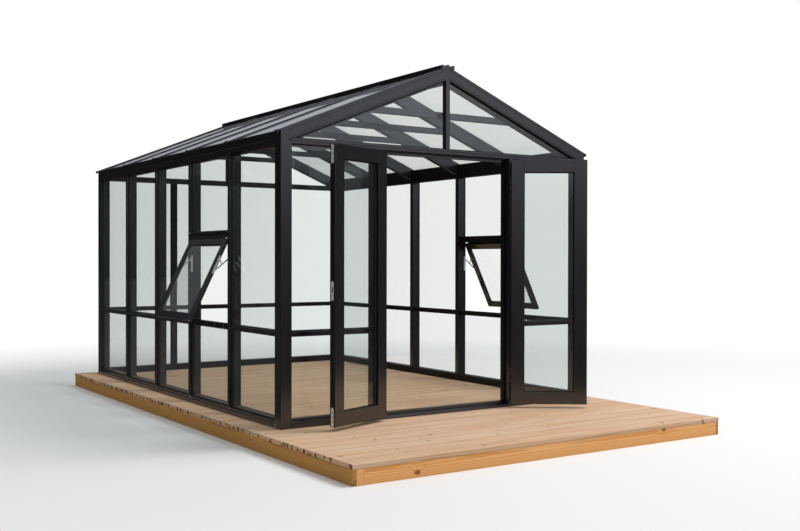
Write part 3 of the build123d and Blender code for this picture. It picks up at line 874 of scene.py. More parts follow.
# TIE BEAMS. The level beam across each gable, an aluminium extrusion with a round bead along
# its top that sheds water from the gable glass. The front one carries the stop for the door heads.
tie_nose = rounded([(0, 2010, 2), (0, 2028), (2, 2030), (2, 2032), (0, 2034),
                    (0, tie_nose_top, 13), (16, tie_nose_top, 2), (20, tie_nose_top - 1),
                    (glass_set, tie_nose_top), (glass_set, 2010)])
tie_body = slab(glass_set, frame_depth, tie_bottom, tie_top, 0, 2)
tie_parts = []
for outline, over, drop in ((tie_nose, lip, gable_face_drop), (tie_body, 0, rafter_drop)):
    form = bmesh.new()
    for wall_side in (-1, 1):
        run(form, outline, level(end_wall(wall_side)), -tie_reach - over, tie_reach + over)
    above = [(cut_out, cut_over), (cut_in, cut_over), (cut_in, -drop), (cut_out, -drop)]
    cutter = notches(above, 0, half - corner_head_width)
    tie_parts.append(carved(plain("tie", form), cutter))
coated("gable_tie_bars", joined(*tie_parts), "gable_tie_beams")
head_stop_bottom = 1985.0
head_stop = rounded([(stop_depth, head_stop_bottom, 2), (stop_depth, tie_bottom),
                     (frame_depth, tie_bottom), (frame_depth, head_stop_bottom, 2)])
form = bmesh.new()
run(form, head_stop, level(end_wall(-1)), -door_half + stop_lip, door_half - stop_lip)
coated("door_head_stop_bar", form, "door_head_stop")

# GABLE AND INNER RAFTERS. Aluminium rafters at both gables and over every side post. The gable
# ones show a wide flat face with a groove near each edge, and meet in a plumb joint under the
# ridge. The inner ones butt against the ridge beam.
ridge_half = 25.0
king_nose_half = 19.0
rafter_nose = rounded([(0, 0, 3), (0, -17), (1.2, -17.8), (1.2, -19.2), (0, -20), (0, -74),
                       (1.5, -75), (1.5, -77), (0, -78), (0, -gable_face_drop, 3),
                       (glass_set, -gable_face_drop), (glass_set, 0)])
rafter_body = rounded([(glass_set, -rafter_drop), (frame_depth, -rafter_drop, 2),
                       (frame_depth, -roof_set), (glass_set, -roof_set)])
inner_rafter = twin([(21, -roof_set - 3), (21, -roof_set), (25, -roof_set, 1),
                     (25, -rafter_drop, 3)])


def on_slope(y, side):
    """Places a bar that lies across the house on a roof slope, drawn as (along, rise)."""
    return lambda a, rise, x: row(side * x, y + a, roof_z(x, rise))


for name, side in (("left", -1), ("right", 1)):
    form = bmesh.new()
    for wall_side in (-1, 1):
        run(form, rafter_nose, sloped(side, wall_side), half - corner_head_width, king_nose_half)
        run(form, rafter_body, sloped(side, wall_side), half - corner_head_width, 0)
    for y in post_ys:
        run(form, inner_rafter, on_slope(y, side), half - frame_depth, ridge_half)
    coated(f"{name}_rafter_bars", form, f"{name}_rafters")

# KING POSTS. A short aluminium post in the middle of each gable, from the tie beam up between
# the rafters to the ridge, with a rebate on both sides for the two triangular panes.
form = bmesh.new()
for wall_side in (-1, 1):
    def upwards(x, z, depth, wall=end_wall(wall_side)):
        return wall(x, depth, z)
    for reach, foot, rise, depths in ((king_nose_half, tie_nose_top, 0, (0, glass_set)),
                                      (ridge_half, tie_top, -rafter_drop, (glass_set, 40))):
        outline = [(-reach, foot), (reach, foot), (reach, roof_z(reach, rise)),
                   (0, roof_z(0, rise)), (-reach, roof_z(reach, rise))]
        run(form, outline, upwards, *depths)
coated("king_post_bars", form, "king_posts", edge=2 * MM)

# COLLAR TIES. Flat aluminium bars that hold each pair of rafters together low down, mitred to
# the rafters' undersides, one at every frame and one behind each gable pane.
collar_low_x = 684.0
collar_height = 50.0
collar_bottom = roof_z(collar_low_x, -rafter_drop)
collar_high_x = collar_low_x - collar_height / slope
collar_top = collar_bottom + collar_height
collar_half = 20.0
collar_depths = [(frame_depth - 2 * collar_half, frame_depth),
                 (house_length - frame_depth, house_length - frame_depth + 2 * collar_half)]
collar_depths += [(y - collar_half, y + collar_half) for y in post_ys]


def mitre(side):
    """The cut end of a collar tie, along the underside of its rafter."""
    lean = collar_high_x - collar_low_x
    return lambda y, z: side * (collar_low_x + lean * (z - collar_bottom) / collar_height)


form = bmesh.new()
for start, end in collar_depths:
    outline = rounded([(start, collar_bottom, 2), (end, collar_bottom, 2), (end, collar_top, 2),
                       (start, collar_top, 2)])
    run(form, outline, level(row), mitre(-1), mitre(1))
coated("collar_tie_bars", form, "collar_ties")

# RIDGE BEAM. The aluminium beam under the ridge that the inner rafters butt against.
ridge_top = roof_z(0, -roof_set)
ridge_beam_depth = 120.0
ridge_bottom = ridge_top - ridge_beam_depth
ridge_shoulder = roof_z(ridge_half, -roof_set)


def lengthwise(x, z, y):
    return row(x, y, z)


ridge_outline = rounded([(-ridge_half, ridge_bottom, 3), (ridge_half, ridge_bottom, 3),
                         (ridge_half, ridge_shoulder, 1), (0, ridge_top),
                         (-ridge_half, ridge_shoulder, 1)])
form = bmesh.new()
run(form, ridge_outline, lengthwise, frame_depth, house_length - frame_depth)
coated("ridge_beam_bar", form, "ridge_beam")

# GLAZING BARS. Aluminium cover strips over the joints between roof panes, bedded on a foam and
# rubber seat. They run out past the glass at the eave, where a moulded cap closes each end, and
# flat trims finish the two gable edges in the same way.
pane_foot = half - 7.5
bar_foot = half + 16
bar_cap_foot = half + 24
bar_head = 60.0
pane_rise = -4.0
bar_cover = twin([(12, 6, 3), (19, 4.5, 2), (22, 1, 1), (22, 0)])
bar_seat = [(22, 0), (22, pane_rise), (-22, pane_rise), (-22, 0)]
bar_cap = twin([(14, 12, 5), (22, 7, 4), (22, -12, 3)])
trim_cover = rounded([(2, 0, 1), (2, 8, 3.5), (56, 8, 2), (56, 0)])
trim_seat = [(glass_set, 0), (56, 0), (56, pane_rise), (glass_set, pane_rise)]
trim_cap = rounded([(2, -12, 3), (2, 10, 4), (56, 10, 4), (56, -12, 3)])
for name, side in (("left", -1), ("right", 1)):
    form = bmesh.new()
    strips = [(on_slope(y, side), bar_cover, bar_seat, bar_cap) for y in post_ys]
    strips += [(sloped(side, wall_side), trim_cover, trim_seat, trim_cap)
               for wall_side in (-1, 1)]
    for place, cover, seat, cap in strips:
        run(form, cover, place, bar_foot, bar_head)
        run(form, seat, place, pane_foot, bar_head)
        run(form, cap, place, bar_cap_foot, bar_foot)
    coated(f"{name}_glazing_bar_covers", form, f"{name}_glazing_bars")

# RIDGE CAP. A pressed aluminium capping over the top edges of the roof panes, with a rolled
# lobe along both edges and a third one on the ridge line, a closure strip beneath it down to
# the glass, and a thin plate over each end.
cap_half = 60.0
cap_top = ridge_height + 19
cap_edge = 62.5
cap_side = [(cap_half, roof_z(cap_half, 0), 1), (cap_half, cap_top - 23, 2),
            (cap_edge, cap_top - 19, 3), (cap_edge, cap_top - 6, 6), (45, cap_top - 1, 6),
            (42, cap_top - 10, 3), (13, cap_top - 10, 3), (10, cap_top - 1, 4)]
cap_outline = rounded([(0, ridge_height)] + cap_side + [(0, cap_top + 1, 5)]
                      + flipped(reversed(cap_side)))
strip_side = [(cap_half, roof_z(cap_half, 0)), (cap_half, roof_z(cap_half, pane_rise))]
strip_outline = flipped(reversed(strip_side)) + [(0, ridge_height)] + strip_side
strip_outline += [(0, roof_z(0, pane_rise))]
end_gap, end_reach = 0.4, 2.5
form = bmesh.new()
for start, end in ((0, house_length), (-end_reach, -end_gap),
                   (house_length + end_gap, house_length + end_reach)):
    run(form, cap_outline, lengthwise, start, end)
run(form, strip_outline, lengthwise, glass_set, house_length - glass_set)
coated("ridge_capping", form, "ridge_cap", edge=0.5 * MM)

# FRAME FIXINGS. Bright pan-head screws: one through the foot of every side post into the
# sill, two low in the side of each corner post, four in a row in the rail under each side
# window and one at each end of the head rail over it.
frame_screw = turned("frame_screw", [(3.2 * MM, 0), (4.6 * MM, 0.6 * MM), (4.6 * MM, 1.4 * MM),
                                     (3.4 * MM, 2.2 * MM)], drive=2 * MM)
rail_screws = (1040, 1210, 1375, 1590)
rail_screw_height = 672
head_screw_height = 1409
corner_screws = (86, house_length - 86)
screw_places = []
for side in (-1, 1):
    wall = side_wall(side)
    spots = [(along, glass_set, rail_screw_height) for along in rail_screws]
    spots += [(along, 0, head_screw_height) for along in (vent_bay[0] + 1, vent_bay[1] - 1)]
    spots += [(y, 11.5, 44) for y in post_ys]
    spots += [(along, 0, up) for along in corner_screws for up in (10, 26)]
    screw_places += [(wall(*spot), (side, 0, 0)) for spot in spots]
placed("frame_screws", frame_screw, screw_places, brushed_steel, "house", "bare_steel", seed=4)

# SIDE WINDOW SASHES. A top-hung aluminium sash in the second bay of each long wall, pushed
# open. Its stiles have a groove in their outer edge, the top bar is rounded over, and the
# bottom bar is cut between the stiles.
vent_middle = (vent_bay[0] + vent_bay[1]) / 2
hinge_line = vent_head_bottom - 4
sash_half = 370.0
sash_height = 697.0
sash_bar = 60.0
sash_nose = 12.0
sash_depth = 26.0
top_bar_foot = -14.0
sash_angle = math.radians(26)
sash_cos = math.cos(sash_angle)
sash_sin = math.sin(sash_angle)


def on_wall(d, u):
    """Depth and height in the wall of a point of the swung sash."""
    return d * sash_cos + u * sash_sin, hinge_line - d * sash_sin + u * sash_cos


def sash(side):
    """Places a point of a sash: across from its middle, in from its face, up from the hinge."""
    wall = side_wall(side)
    return lambda x, d, u: wall(vent_middle + x, *on_wall(d, u))


def recessed_rail(form, place, heights, depths, start, end):
    """A bar of a sash or leaf, whose nose in front of the glass laps over the stiles."""
    low, high, nose_low, nose_high = heights
    nose, full = depths
    run(form, slab(0, nose, nose_low, nose_high, 2.5), level(place), start - lip, end + lip)
    run(form, slab(nose, full, low, high, 0, 2.5), level(place), start, end)


sash_inner = sash_half - sash_bar
stile_outline = [(sash_half, 0, 3), (sash_half, 10.5), (sash_half - 2.5, 11.5),
                 (sash_half - 2.5, 14.5), (sash_half, 15.5), (sash_half, sash_depth, 2.5),
                 (sash_inner, sash_depth, 2.5), (sash_inner, sash_nose),
                 (sash_inner + lip, sash_nose), (sash_inner + lip, 0, 2.5)]
bull_nose = rounded([(0, top_bar_foot), (0, 0, 12), (sash_depth, 0, 12),
                     (sash_depth, top_bar_foot)], steps=6)
sash_foot_top = -sash_height + sash_bar
sash_rails = ((-sash_bar, top_bar_foot, -sash_bar + lip, top_bar_foot),
              (-sash_height, sash_foot_top, -sash_height, sash_foot_top - lip))
stiles = bmesh.new()
rails = bmesh.new()
for side in (-1, 1):
    place = sash(side)
    for sign in (-1, 1):
        outline = rounded(flipped(stile_outline, sign))
        run(stiles, outline, place, -sash_height, top_bar_foot - 0.3)
    run(rails, bull_nose, level(place), -sash_half, sash_half)
    for heights in sash_rails:
        recessed_rail(rails, place, heights, (sash_nose, sash_depth), -sash_inner, sash_inner)
coated("window_sash_stiles", stiles, "vent_sash_stiles")
coated("window_sash_rails", rails, "vent_sash_rails")

# WINDOW HINGES. One long piano hinge of black coated steel per window: a narrow leaf screwed
# to the head rail, rolled knuckles along a pin, and a leaf on the sash.
barrel_radius = 3.5
barrel_half = 350.0
knuckle_pitch = 25.0
knuckle_gap = 0.4
sash_screw_count = 8
sash_screw_step = 90.0


def circle(a, b, radius, sides=12):
    turns = [2 * math.pi * i / sides for i in range(sides)]
    return [(a + radius * math.cos(turn), b + radius * math.sin(turn)) for turn in turns]


form = bmesh.new()
small_screws = []
for side in (-1, 1):
    wall, place = side_wall(side), sash(side)
    start, end = vent_middle - barrel_half, vent_middle + barrel_half
    leaf_outline = rounded([(-2, hinge_line + 2, 0.5), (-2, vent_head_bottom + 12, 1),
                            (0, vent_head_bottom + 12), (0, hinge_line + 2)])
    run(form, leaf_outline, level(wall), start, end)
    run(form, slab(-1.6, -0.1, -24, -2.5, 0.8), level(place), -barrel_half, barrel_half)
    barrel = circle(-barrel_radius, hinge_line, barrel_radius)
    for index in range(int(2 * barrel_half / knuckle_pitch)):
        knuckle = start + index * knuckle_pitch
        run(form, barrel, level(wall), knuckle + knuckle_gap, knuckle + knuckle_pitch - knuckle_gap)
    for index in range(sash_screw_count):
        x = (index - (sash_screw_count - 1) / 2) * sash_screw_step
        small_screws.append((wall(vent_middle + x, -2, vent_head_bottom + 6.5), (side, 0, 0)))
        small_screws.append((place(x + 20, -1.6, -17), place(0, -1, 0) - place(0, 0, 0)))
coated("window_piano_hinges", form, "vent_hinges", edge=0.3 * MM)
small_screw = turned("small_screw", [(2.6 * MM, -0.2 * MM), (3 * MM, 0.3 * MM),
                                     (2.2 * MM, 0.9 * MM)], sides=10, drive=1.3 * MM)
placed("window_hinge_screws", small_screw, small_screws, weathered_zinc, "house", "bare_steel",
       seed=9)

# WINDOW STAYS. A stainless friction stay on each side of a sash, in the narrow gap beside it: a
# flat track on the sash's edge, an arm from the end of the track to a bracket on the post,
# and a short link from the track's top to the middle of the arm.


def strap(first, last, radius, steps=6):
    """Outline of a flat strap with round ends, from one end's middle to the other's."""
    way = (Vector(last) - Vector(first)).normalized()
    across = Vector((-way.y, way.x))
    outline = []
    for middle, start in ((Vector(last), -math.pi / 2), (Vector(first), math.pi / 2)):
        for step in range(steps + 1):
            turn = start + math.pi * step / steps
            swing = math.cos(turn) * way + math.sin(turn) * across
            outline.append(tuple(middle + radius * swing))
    return outline


arm_width = 6.0
post_pivot = Vector((22.0, 1204.0))
track_middle = 13.0
bracket_depth = 19.0
arm_foot = Vector(on_wall(track_middle, -285))
link_top = Vector(on_wall(track_middle, -165))
link_foot = post_pivot.lerp(arm_foot, 0.48)
track = strap(on_wall(track_middle, -150), on_wall(track_middle, -294), arm_width)
layers = ((track, 370, 371.1), (strap(link_top, link_foot, arm_width - 1), 371.2, 372.1),
          (strap(post_pivot, arm_foot, arm_width), 372.2, 373.2),
          (strap((bracket_depth, 1218), (bracket_depth, 1092), 8), 373.3, 380))
bracket_rivets = [(bracket_depth, up) for up in (1180, 1104, 1130)]
arm_rivets = (link_top, arm_foot, link_foot)
form = bmesh.new()
rivets = []
for side in (-1, 1):
    for sign in (-1, 1):
        beside = level(shifted(side_wall(side), sign, vent_middle))
        for outline, start, end in layers:
            run(form, outline, beside, start, end)
        rivets += [(beside(*spot, 373.3), (0, -sign, 0)) for spot in bracket_rivets]
        rivets += [(beside(*spot, 371.6), (0, sign, 0)) for spot in arm_rivets]
stay_arms = finished("window_stay_arms", form, brushed_steel, edge=0.2 * MM)
fitted(stay_arms, "house", "bare_steel", "vent_stays")
rivet = turned("rivet", [(2.6 * MM, 0), (2.6 * MM, 0.4 * MM), (1.8 * MM, 1.1 * MM)], sides=10)
placed("window_stay_rivets", rivet, rivets, brushed_steel, "house", "bare_steel", spin=0.0)

# DOOR LEAVES. Each leaf is four wide aluminium bars, butted at the corners and screwed from
# inside, coated black. The pane lies against a shallow nose on the outer side, so that the
# inner side shows a deep recess. The left leaf stands open further than the right one.
hinge_back = -10.0
leaf_edge = -613.0
leaf_free = -5.0
leaf_stile = 104.0
leaf_bottom = 30.0
leaf_top = 1997.0
leaf_rail = 101.0
leaf_nose = 18.0
leaf_thickness = 46.0
leaves = {"left_door": (-1, math.radians(159)), "right_door": (1, math.radians(144.5))}


def leaf(body):
    """Places a point of an open leaf, drawn closed as the left one: along, in from its face, up."""
    side, angle = leaves[body]

    def place(x, d, z):
        across, deep = x + door_half, d - hinge_back
        out = -door_half + across * math.cos(angle) + deep * math.sin(angle)
        return row(-side * out, hinge_back - across * math.sin(angle) + deep * math.cos(angle), z)
    return place


hinge_inner = leaf_edge + leaf_stile
free_inner = leaf_free - leaf_stile
hinge_stile = rounded([(leaf_edge, 0, 3), (leaf_edge, leaf_thickness, 3),
                       (hinge_inner, leaf_thickness, 2.5), (hinge_inner, leaf_nose),
                       (hinge_inner - lip, leaf_nose), (hinge_inner - lip, 0, 2.5)])
free_stile = rounded([(free_inner + lip, 0, 2.5), (free_inner + lip, leaf_nose),
                      (free_inner, leaf_nose), (free_inner, leaf_thickness, 2.5),
                      (leaf_free, leaf_thickness, 3), (leaf_free, 0, 3)])
low_rail_top = leaf_bottom + leaf_rail
high_rail_foot = leaf_top - leaf_rail
leaf_rails = ((leaf_bottom, low_rail_top, leaf_bottom, low_rail_top - lip),
              (high_rail_foot, leaf_top, high_rail_foot + lip, leaf_top))
for body in leaves:
    place = leaf(body)
    form = bmesh.new()
    for outline in (hinge_stile, free_stile):
        run(form, outline, place, leaf_bottom, leaf_top)
    coated(f"{body}_stile_bars", form, f"{body}_stiles", body=body)
    form = bmesh.new()
    for heights in leaf_rails:
        recessed_rail(form, place, heights, (leaf_nose, leaf_thickness), hinge_inner, free_inner)
    coated(f"{body}_rail_bars", form, f"{body}_rails", body=body)

# DOOR HINGES. Three heavy black coated aluminium hinges per leaf: a plate on the post, one on
# the leaf, three turned knuckles on the hinge line with a steel pin showing at both ends.
knuckle_radius = 8.0
outer_knuckle = 31.0
hinge_reach = 48.0
hinge_heights = (260.0, 1367.0, 1767.0)
pin_reach = 2.5
pin_radius = 5.0
plate_near = 10.0
plate_far = 40.0
plate_proud = -4.0
plate_middle = (plate_near + plate_far) / 2
hinge_screw_step = 30.0
outer_knuckles = [(-hinge_reach, -hinge_reach + outer_knuckle),
                  (hinge_reach - outer_knuckle, hinge_reach)]
middle_knuckle = [(-hinge_reach + outer_knuckle + 1, hinge_reach - outer_knuckle - 1)]


def strip_of(box, radius):
    (x0, x1), (y0, y1) = box
    return rounded([(x0, y0, radius), (x0, y1), (x1, y1), (x1, y0, radius)])


def hinge_side(form, place, plate, arm, knuckles, z):
    """One half of a hinge: its plate, the arm to each knuckle, and the knuckles."""
    run(form, strip_of(plate, 1.2), place, z - hinge_reach, z + hinge_reach)
    for low, high in knuckles:
        run(form, strip_of(arm, 0), place, z + low, z + high)
        run(form, circle(-door_half, hinge_back, knuckle_radius, 16), place, z + low, z + high)


frame_halves = bmesh.new()
pins = bmesh.new()
hinge_screws = {"house": [], "left_door": [], "right_door": []}
for body, (side, angle) in leaves.items():
    on_frame, place = shifted(row, -side), leaf(body)
    form = bmesh.new()
    for z in hinge_heights:
        hinge_side(frame_halves, on_frame,
                   ((-door_half - plate_far, -door_half - plate_near), (plate_proud, 0)),
                   ((-door_half - plate_near, -door_half), (hinge_back, 0)), outer_knuckles, z)
        hinge_side(form, place,
                   ((-door_half + plate_near, -door_half + plate_far), (plate_proud, 0)),
                   ((-door_half, -door_half + plate_near), (hinge_back, -2)), middle_knuckle, z)
        for end in (-1, 1):
            tip = sorted((z + end * hinge_reach, z + end * (hinge_reach + pin_reach)))
            run(pins, circle(-door_half, hinge_back, pin_radius, 14), on_frame, *tip)
        for up in (z - hinge_screw_step, z, z + hinge_screw_step):
            on_post = on_frame(-door_half - plate_middle, plate_proud, up)
            on_leaf = place(-door_half + plate_middle, plate_proud, up)
            hinge_screws["house"].append((on_post, (0, -1, 0)))
            hinge_screws[body].append((on_leaf, place(0, -1, 0) - place(0, 0, 0)))
    coated(f"{body}_hinge_halves", form, f"{body}_hinges", body=body)
coated("door_frame_hinge_halves", frame_halves, "door_frame_hinges")
fitted(finished("door_hinge_pin_ends", pins, weathered_zinc), "house", "bare_steel")
for body, places in hinge_screws.items():
    placed(f"{body}_hinge_screws", small_screw, places, weathered_zinc, body, "bare_steel",
           seed=13)

# DOOR EDGE PLATES. Stainless plates screwed on the free edge of the leaves: a perforated bolt
# plate at the top and foot of the left leaf, and a lock plate in the middle of both, with a slot
# for the latch.
edge_middle = leaf_thickness / 2
plate_radius = 11.0
plate_half = 68.0
plate_screw_reach = 57.0
plate_face = leaf_free + 1.2
lock_middle = 975.0
for body, node, middles in (
        ("left_door", "left_door_edge_plates", (1927.0, lock_middle, 100.0)),
        ("right_door", "right_door_lock_plate", (lock_middle,))):
    place = leaf(body)
    plates, holes = bmesh.new(), bmesh.new()
    for middle in middles:
        if middle == lock_middle:
            openings = [strap((edge_middle, middle - 8), (edge_middle, middle + 26), 5),
                        circle(edge_middle, middle - 32, 4)]
        else:
            openings = [circle(edge_middle, middle + step, 5) for step in (-32, 0, 32)]
        plate = strap((edge_middle, middle - plate_half + plate_radius),
                      (edge_middle, middle + plate_half - plate_radius), plate_radius)
        run(plates, plate, level(place), leaf_free + 0.05, plate_face)
        for outline in openings:
            run(holes, outline, level(place), leaf_free - 1, leaf_free + 2)
    cut = carved(finished("plates", plates, brushed_steel, edge=0), plain("holes", holes))
    cut = finished(f"{body}_edge_plates_cut", gathered(cut), brushed_steel, edge=0.2 * MM)
    fitted(cut, body, "bare_steel", node)
    outwards = place(1, 0, 0) - place(0, 0, 0)
    edge_screws = [(place(plate_face, edge_middle, middle + end * plate_screw_reach),
                    outwards)
                   for middle in middles for end in (-1, 1)]
    placed(f"{body}_edge_screws", small_screw, edge_screws, brushed_steel, body, "bare_steel",
           seed=17)


# GLASS. Clear float glass, 4 mm toughened: almost colourless, with a smooth fire skin that
# carries a faint roller wave, drawn 0.4 m long, and a trace of dried rain that dulls it in
# streaks. The panes stay as the CAD has them.
def sight(tree):
    """The kinds of ray, and those that see a thing mirrored in a coat."""
    path = add(tree, "ShaderNodeLightPath").outputs
    return path, maths("SUBTRACT", path["Is Glossy Ray"], path["Is Transmission Ray"],
                       clamp=True)


def blended(tree, share, shader, other):
    """Shows another shader in place of a material's own one, by a share."""
    both = output(tree, "ShaderNodeMixShader",
                  {0: share, 1: shader.outputs[0], 2: other.outputs[0]})
    feed(tree.nodes["Material Output"], {"Surface": both})


def clear_glass(name, tint):
    material, tree, shader = new_material(name)
    where = add(tree, "ShaderNodeTexCoord").outputs["Object"]
    streak = noise(where, 1.0, 4.0, 0.65, (26.0, 26.0, 3.0))
    feed(shader, {
        "Base Color": linear(tint), "Transmission Weight": 1.0, "IOR": 1.5,
        "Roughness": times(spread(streak, 0.55, 0.8), 0.035),
        "Normal": bumped(noise(where, 2.5, 1.0), 1.0, 0.25 * MM)})
    path, mirrored = sight(tree)
    passing = maths("MAXIMUM", path["Is Shadow Ray"], path["Is Diffuse Ray"])
    passing = maths("MAXIMUM", passing, mirrored)
    open_air = add(tree, "ShaderNodeBsdfTransparent", {"Color": linear(tint)})
    blended(tree, passing, shader, open_air)
    return material


house_glass = clear_glass("clear_float_glass", "#f8fbfa")
for node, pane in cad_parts.items():
    if node.endswith(("_panes", "_pane")):
        pane.data.materials.clear()
        pane.data.materials.append(house_glass)

# GLAZING SEALS. Black EPDM rubber: wedges pressed in between the glass and the bars all round
# every pane, and a flat lip along both sides of each roof bar.
def rubber(name, base):
    material, tree, shader = new_material(name)
    grain = noise(add(tree, "ShaderNodeTexCoord").outputs["Object"], 500.0)
    feed(shader, {
        "Base Color": mixed(grain, linear(base), linear(base, 1.6)), "IOR": 1.5,
        "Roughness": plus(0.55, times(grain, 0.2)),
        "Normal": bumped(grain, 0.2, 0.2 * MM)})
    return material


black_rubber = rubber("black_epdm_rubber", "#0e0e0f")
seal_reach = 7.0
wall_wedge = [(0, 24), (0, 18), (2.5, 17), (seal_reach, 22.5), (seal_reach, 24)]


def seal_run(form, wall, wedge, fixed, direction, start, end, is_level):
    """One wedge along a pane edge: it starts at the bar's side and thins out over the glass."""
    outline = [(fixed + direction * a, b) for a, b in wedge]
    run(form, outline, (lambda a, b, t: wall(t, b, a)) if is_level else wall, start, end)

def seal_pane(form, wall, wedge, xs, zs):
    """Four wedges round a pane that fills an opening between the noses of its bars."""
    reach = wedge[-1][0]
    seal_run(form, wall, wedge, xs[0], 1, *zs, False)
    seal_run(form, wall, wedge, xs[1], -1, *zs, False)
    seal_run(form, wall, wedge, zs[0], 1, xs[0] + reach, xs[1] - reach, True)
    seal_run(form, wall, wedge, zs[1], -1, xs[0] + reach, xs[1] - reach, True)


def grown_by_lip(xs):
    return xs[0] - lip, xs[1] + lip


def sealed(name, form, body="house"):
    """The seals in a form as one piece, handed over."""
    fitted(finished(name, form, black_rubber, edge=0), body, "black_frame")


gable_sill_end = 1318.0
gable_rafter_end = 1310.0
form = bmesh.new()
for side in (-1, 1):
    for bay in bays:
        upper = (vent_head_top if bay == vent_bay else rail_top, eave_bottom)
        for zs in ((sill_height, rail_bottom), upper):
            seal_pane(form, side_wall(side), wall_wedge, grown_by_lip(bay), grown_by_lip(zs))
for wall, end_bays in ((end_wall(-1), front_bays), (end_wall(1), back_bays)):
    for bay in end_bays:
        for zs in ((sill_height, rail_bottom), (rail_top, tie_bottom)):
            seal_pane(form, wall, wall_wedge, grown_by_lip(bay), grown_by_lip(zs))
slope_wedge = [(b, -gable_face_drop - a) for a, b in wall_wedge]
for wall_side in (-1, 1):
    wall = end_wall(wall_side)
    for side in (-1, 1):
        towards = shifted(wall, side)
        seal_run(form, towards, wall_wedge, king_nose_half, 1, tie_nose_top,
                 roof_z(king_nose_half, -gable_face_drop), False)
        seal_run(form, towards, wall_wedge, tie_nose_top, 1, king_nose_half + seal_reach,
                 gable_sill_end, True)
        run(form, slope_wedge, sloped(side, wall_side), gable_rafter_end,
            king_nose_half + seal_reach)
bar_lip = [(22, pane_rise), (22, pane_rise + 3), (23.5, pane_rise + 2.5), (25, pane_rise + 1),
           (25, pane_rise)]
for side in (-1, 1):
    for y in post_ys:
        for sign in (-1, 1):
            run(form, flipped(bar_lip, sign), on_slope(y, side), pane_foot, bar_head)
sealed("wall_glazing_seals", form)
sash_wedge = [(0, 8), (0, 3.5), (2, 3), (5, 7), (5, 8)]
form = bmesh.new()
for side in (-1, 1):
    seal_pane(form, sash(side), sash_wedge, (-sash_inner - lip, sash_inner + lip),
              (sash_foot_top - lip, -sash_bar + lip))
sealed("window_glazing_seals", form)
outer_wedge = [(0, 14), (0, 9), (2, 8), (6, 13), (6, 14)]
inner_wedge = [(0, leaf_nose), (0, leaf_nose + 6), (2, leaf_nose + 7), (6, leaf_nose + 1.5),
               (6, leaf_nose)]
for body in leaves:
    form = bmesh.new()
    xs, zs = (hinge_inner, free_inner), (low_rail_top, high_rail_foot)
    seal_pane(form, leaf(body), inner_wedge, xs, zs)
    seal_pane(form, leaf(body), outer_wedge, grown_by_lip(xs), grown_by_lip(zs))
    sealed(f"{body}_glazing_seals", form, body)

# STUDIO. A pale seamless floor that fades into a white surround, and soft light from above.
# The surround is as white as paper to the camera and through the glass. In the satin coat it is
# seen by direction: bright in front and overhead, less so behind, and dim to both sides and
# along the horizon.
floor_reach = 60.0
floor_sink = -0.5 * MM
floor_mesh = bpy.data.meshes.new("studio_floor")
floor_mesh.from_pydata([(x * floor_reach, y * floor_reach, floor_sink)
                        for x, y in ((-1, -1), (1, -1), (1, 1), (-1, 1))], [], [(0, 1, 2, 3)])
floor = in_scene("studio_floor", floor_mesh)
floor_material, tree, shader = new_material("pale_studio_floor")
path, mirrored = sight(tree)
seen = maths("MAXIMUM", path["Is Camera Ray"], path["Is Transmission Ray"])
# Where the coat and the glass mirror the floor, it is painted dark grey: a painted reflection of
# darker ground, not the floor's own colour.
pale = mixed(mirrored, linear("#e9e9e7"), linear("#444442"))
feed(shader, {"Base Color": pale, "Roughness": 0.9})
away = vectors("LENGTH", add(tree, "ShaderNodeTexCoord").outputs["Object"])
paper = add(tree, "ShaderNodeEmission", {"Color": (1, 1, 1, 1), "Strength": 1.0})
blended(tree, times(seen, spread(away, 3.2, 8.5)), shader, paper)
floor_mesh.materials.append(floor_material)

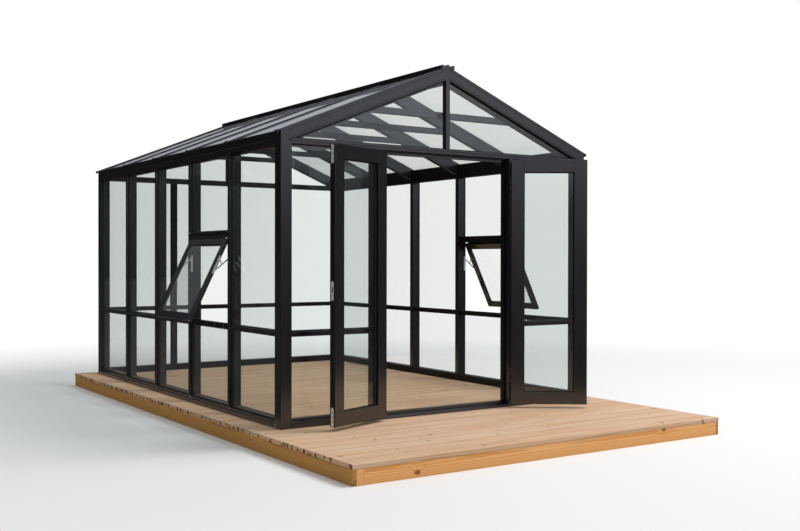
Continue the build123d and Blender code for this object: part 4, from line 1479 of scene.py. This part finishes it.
world = bpy.data.worlds.new("studio")
bpy.context.scene.world = world
world.use_nodes = True
sky = world.node_tree
sky.nodes.clear()
path, mirrored = sight(sky)
seen = maths("MAXIMUM", path["Is Camera Ray"], path["Is Transmission Ray"])
towards = add(sky, "ShaderNodeTexCoord").outputs["Generated"]
axes = add(sky, "ShaderNodeSeparateXYZ", {0: towards}).outputs
right, overhead = axes[0], axes[2]
front = vectors("DOT_PRODUCT", towards, (0.0, -1.0, 0.0))
back = vectors("DOT_PRODUCT", towards, (0.5, 0.86, 0.0))
share = plus(spread(front, 0.35, 0.85), spread(back, 0.78, 0.97, 0.0, 0.42))
share = times(share, spread(overhead, 0.035, 0.13, 0.14, 1.0))
share = maths("MAXIMUM", share, spread(right, -0.2, 0.6, 0.02, 0.12))
share = plus(share, spread(overhead, 0.15, 0.7, 0.0, 0.5))
strength = maths("MAXIMUM", seen, times(share, mirrored), clamp=True)
tint = mixed(mirrored, (1, 1, 1, 1), linear("#eef1fb"))
white = add(sky, "ShaderNodeBackground", {"Color": tint, "Strength": strength})
soft = add(sky, "ShaderNodeBackground", {
    "Color": (0.95, 0.97, 1, 1), "Strength": spread(overhead, -0.1, 0.7, 0.2, 0.62)})
bright = maths("MAXIMUM", seen, path["Is Glossy Ray"])
both = add(sky, "ShaderNodeMixShader", {0: bright, 1: soft.outputs[0], 2: white.outputs[0]})
add(sky, "ShaderNodeOutputWorld", {"Surface": both.outputs[0]})


def lamp(name, place, target, size, power):
    light = bpy.data.lights.new(name, "AREA")
    light.shape = "DISK"
    light.size = size
    light.energy = power
    thing = in_scene(name, light)
    thing.location = place
    facing = Vector(target) - Vector(place)
    thing.rotation_euler = facing.to_track_quat("-Z", "Y").to_euler()
    # The glass mirrors the soft surround and not the lamp, whose white disc would hide the roof.
    thing.visible_glossy = False


lamp("key_light", (4.6, -4.2, 10.5), (0, 0, 0.8), 6.0, 1050)

# CAMERA. The photograph's own viewpoint, found from the straight edges of the house: where it
# stood, then how far it was turned, tipped and rolled, in degrees.
eye = (-4.678, -7.8605, 1.3276)
heading, tip, roll = -33.658, 90 - 0.380, 0.094
camera_data = bpy.data.cameras.new("camera")
camera_data.sensor_width = 36.0
camera_data.lens = 45.625
camera_data.clip_end = 400.0
camera = in_scene("camera", camera_data)
turn = Matrix.Translation(eye)
for degrees, axis in ((heading, "Z"), (tip, "X"), (roll, "Z")):
    turn = turn @ Matrix.Rotation(math.radians(degrees), 4, axis)
camera.matrix_world = turn
bpy.context.scene.camera = camera
bpy.context.scene.view_settings.view_transform = "Standard"

bpy.context.view_layer.update()
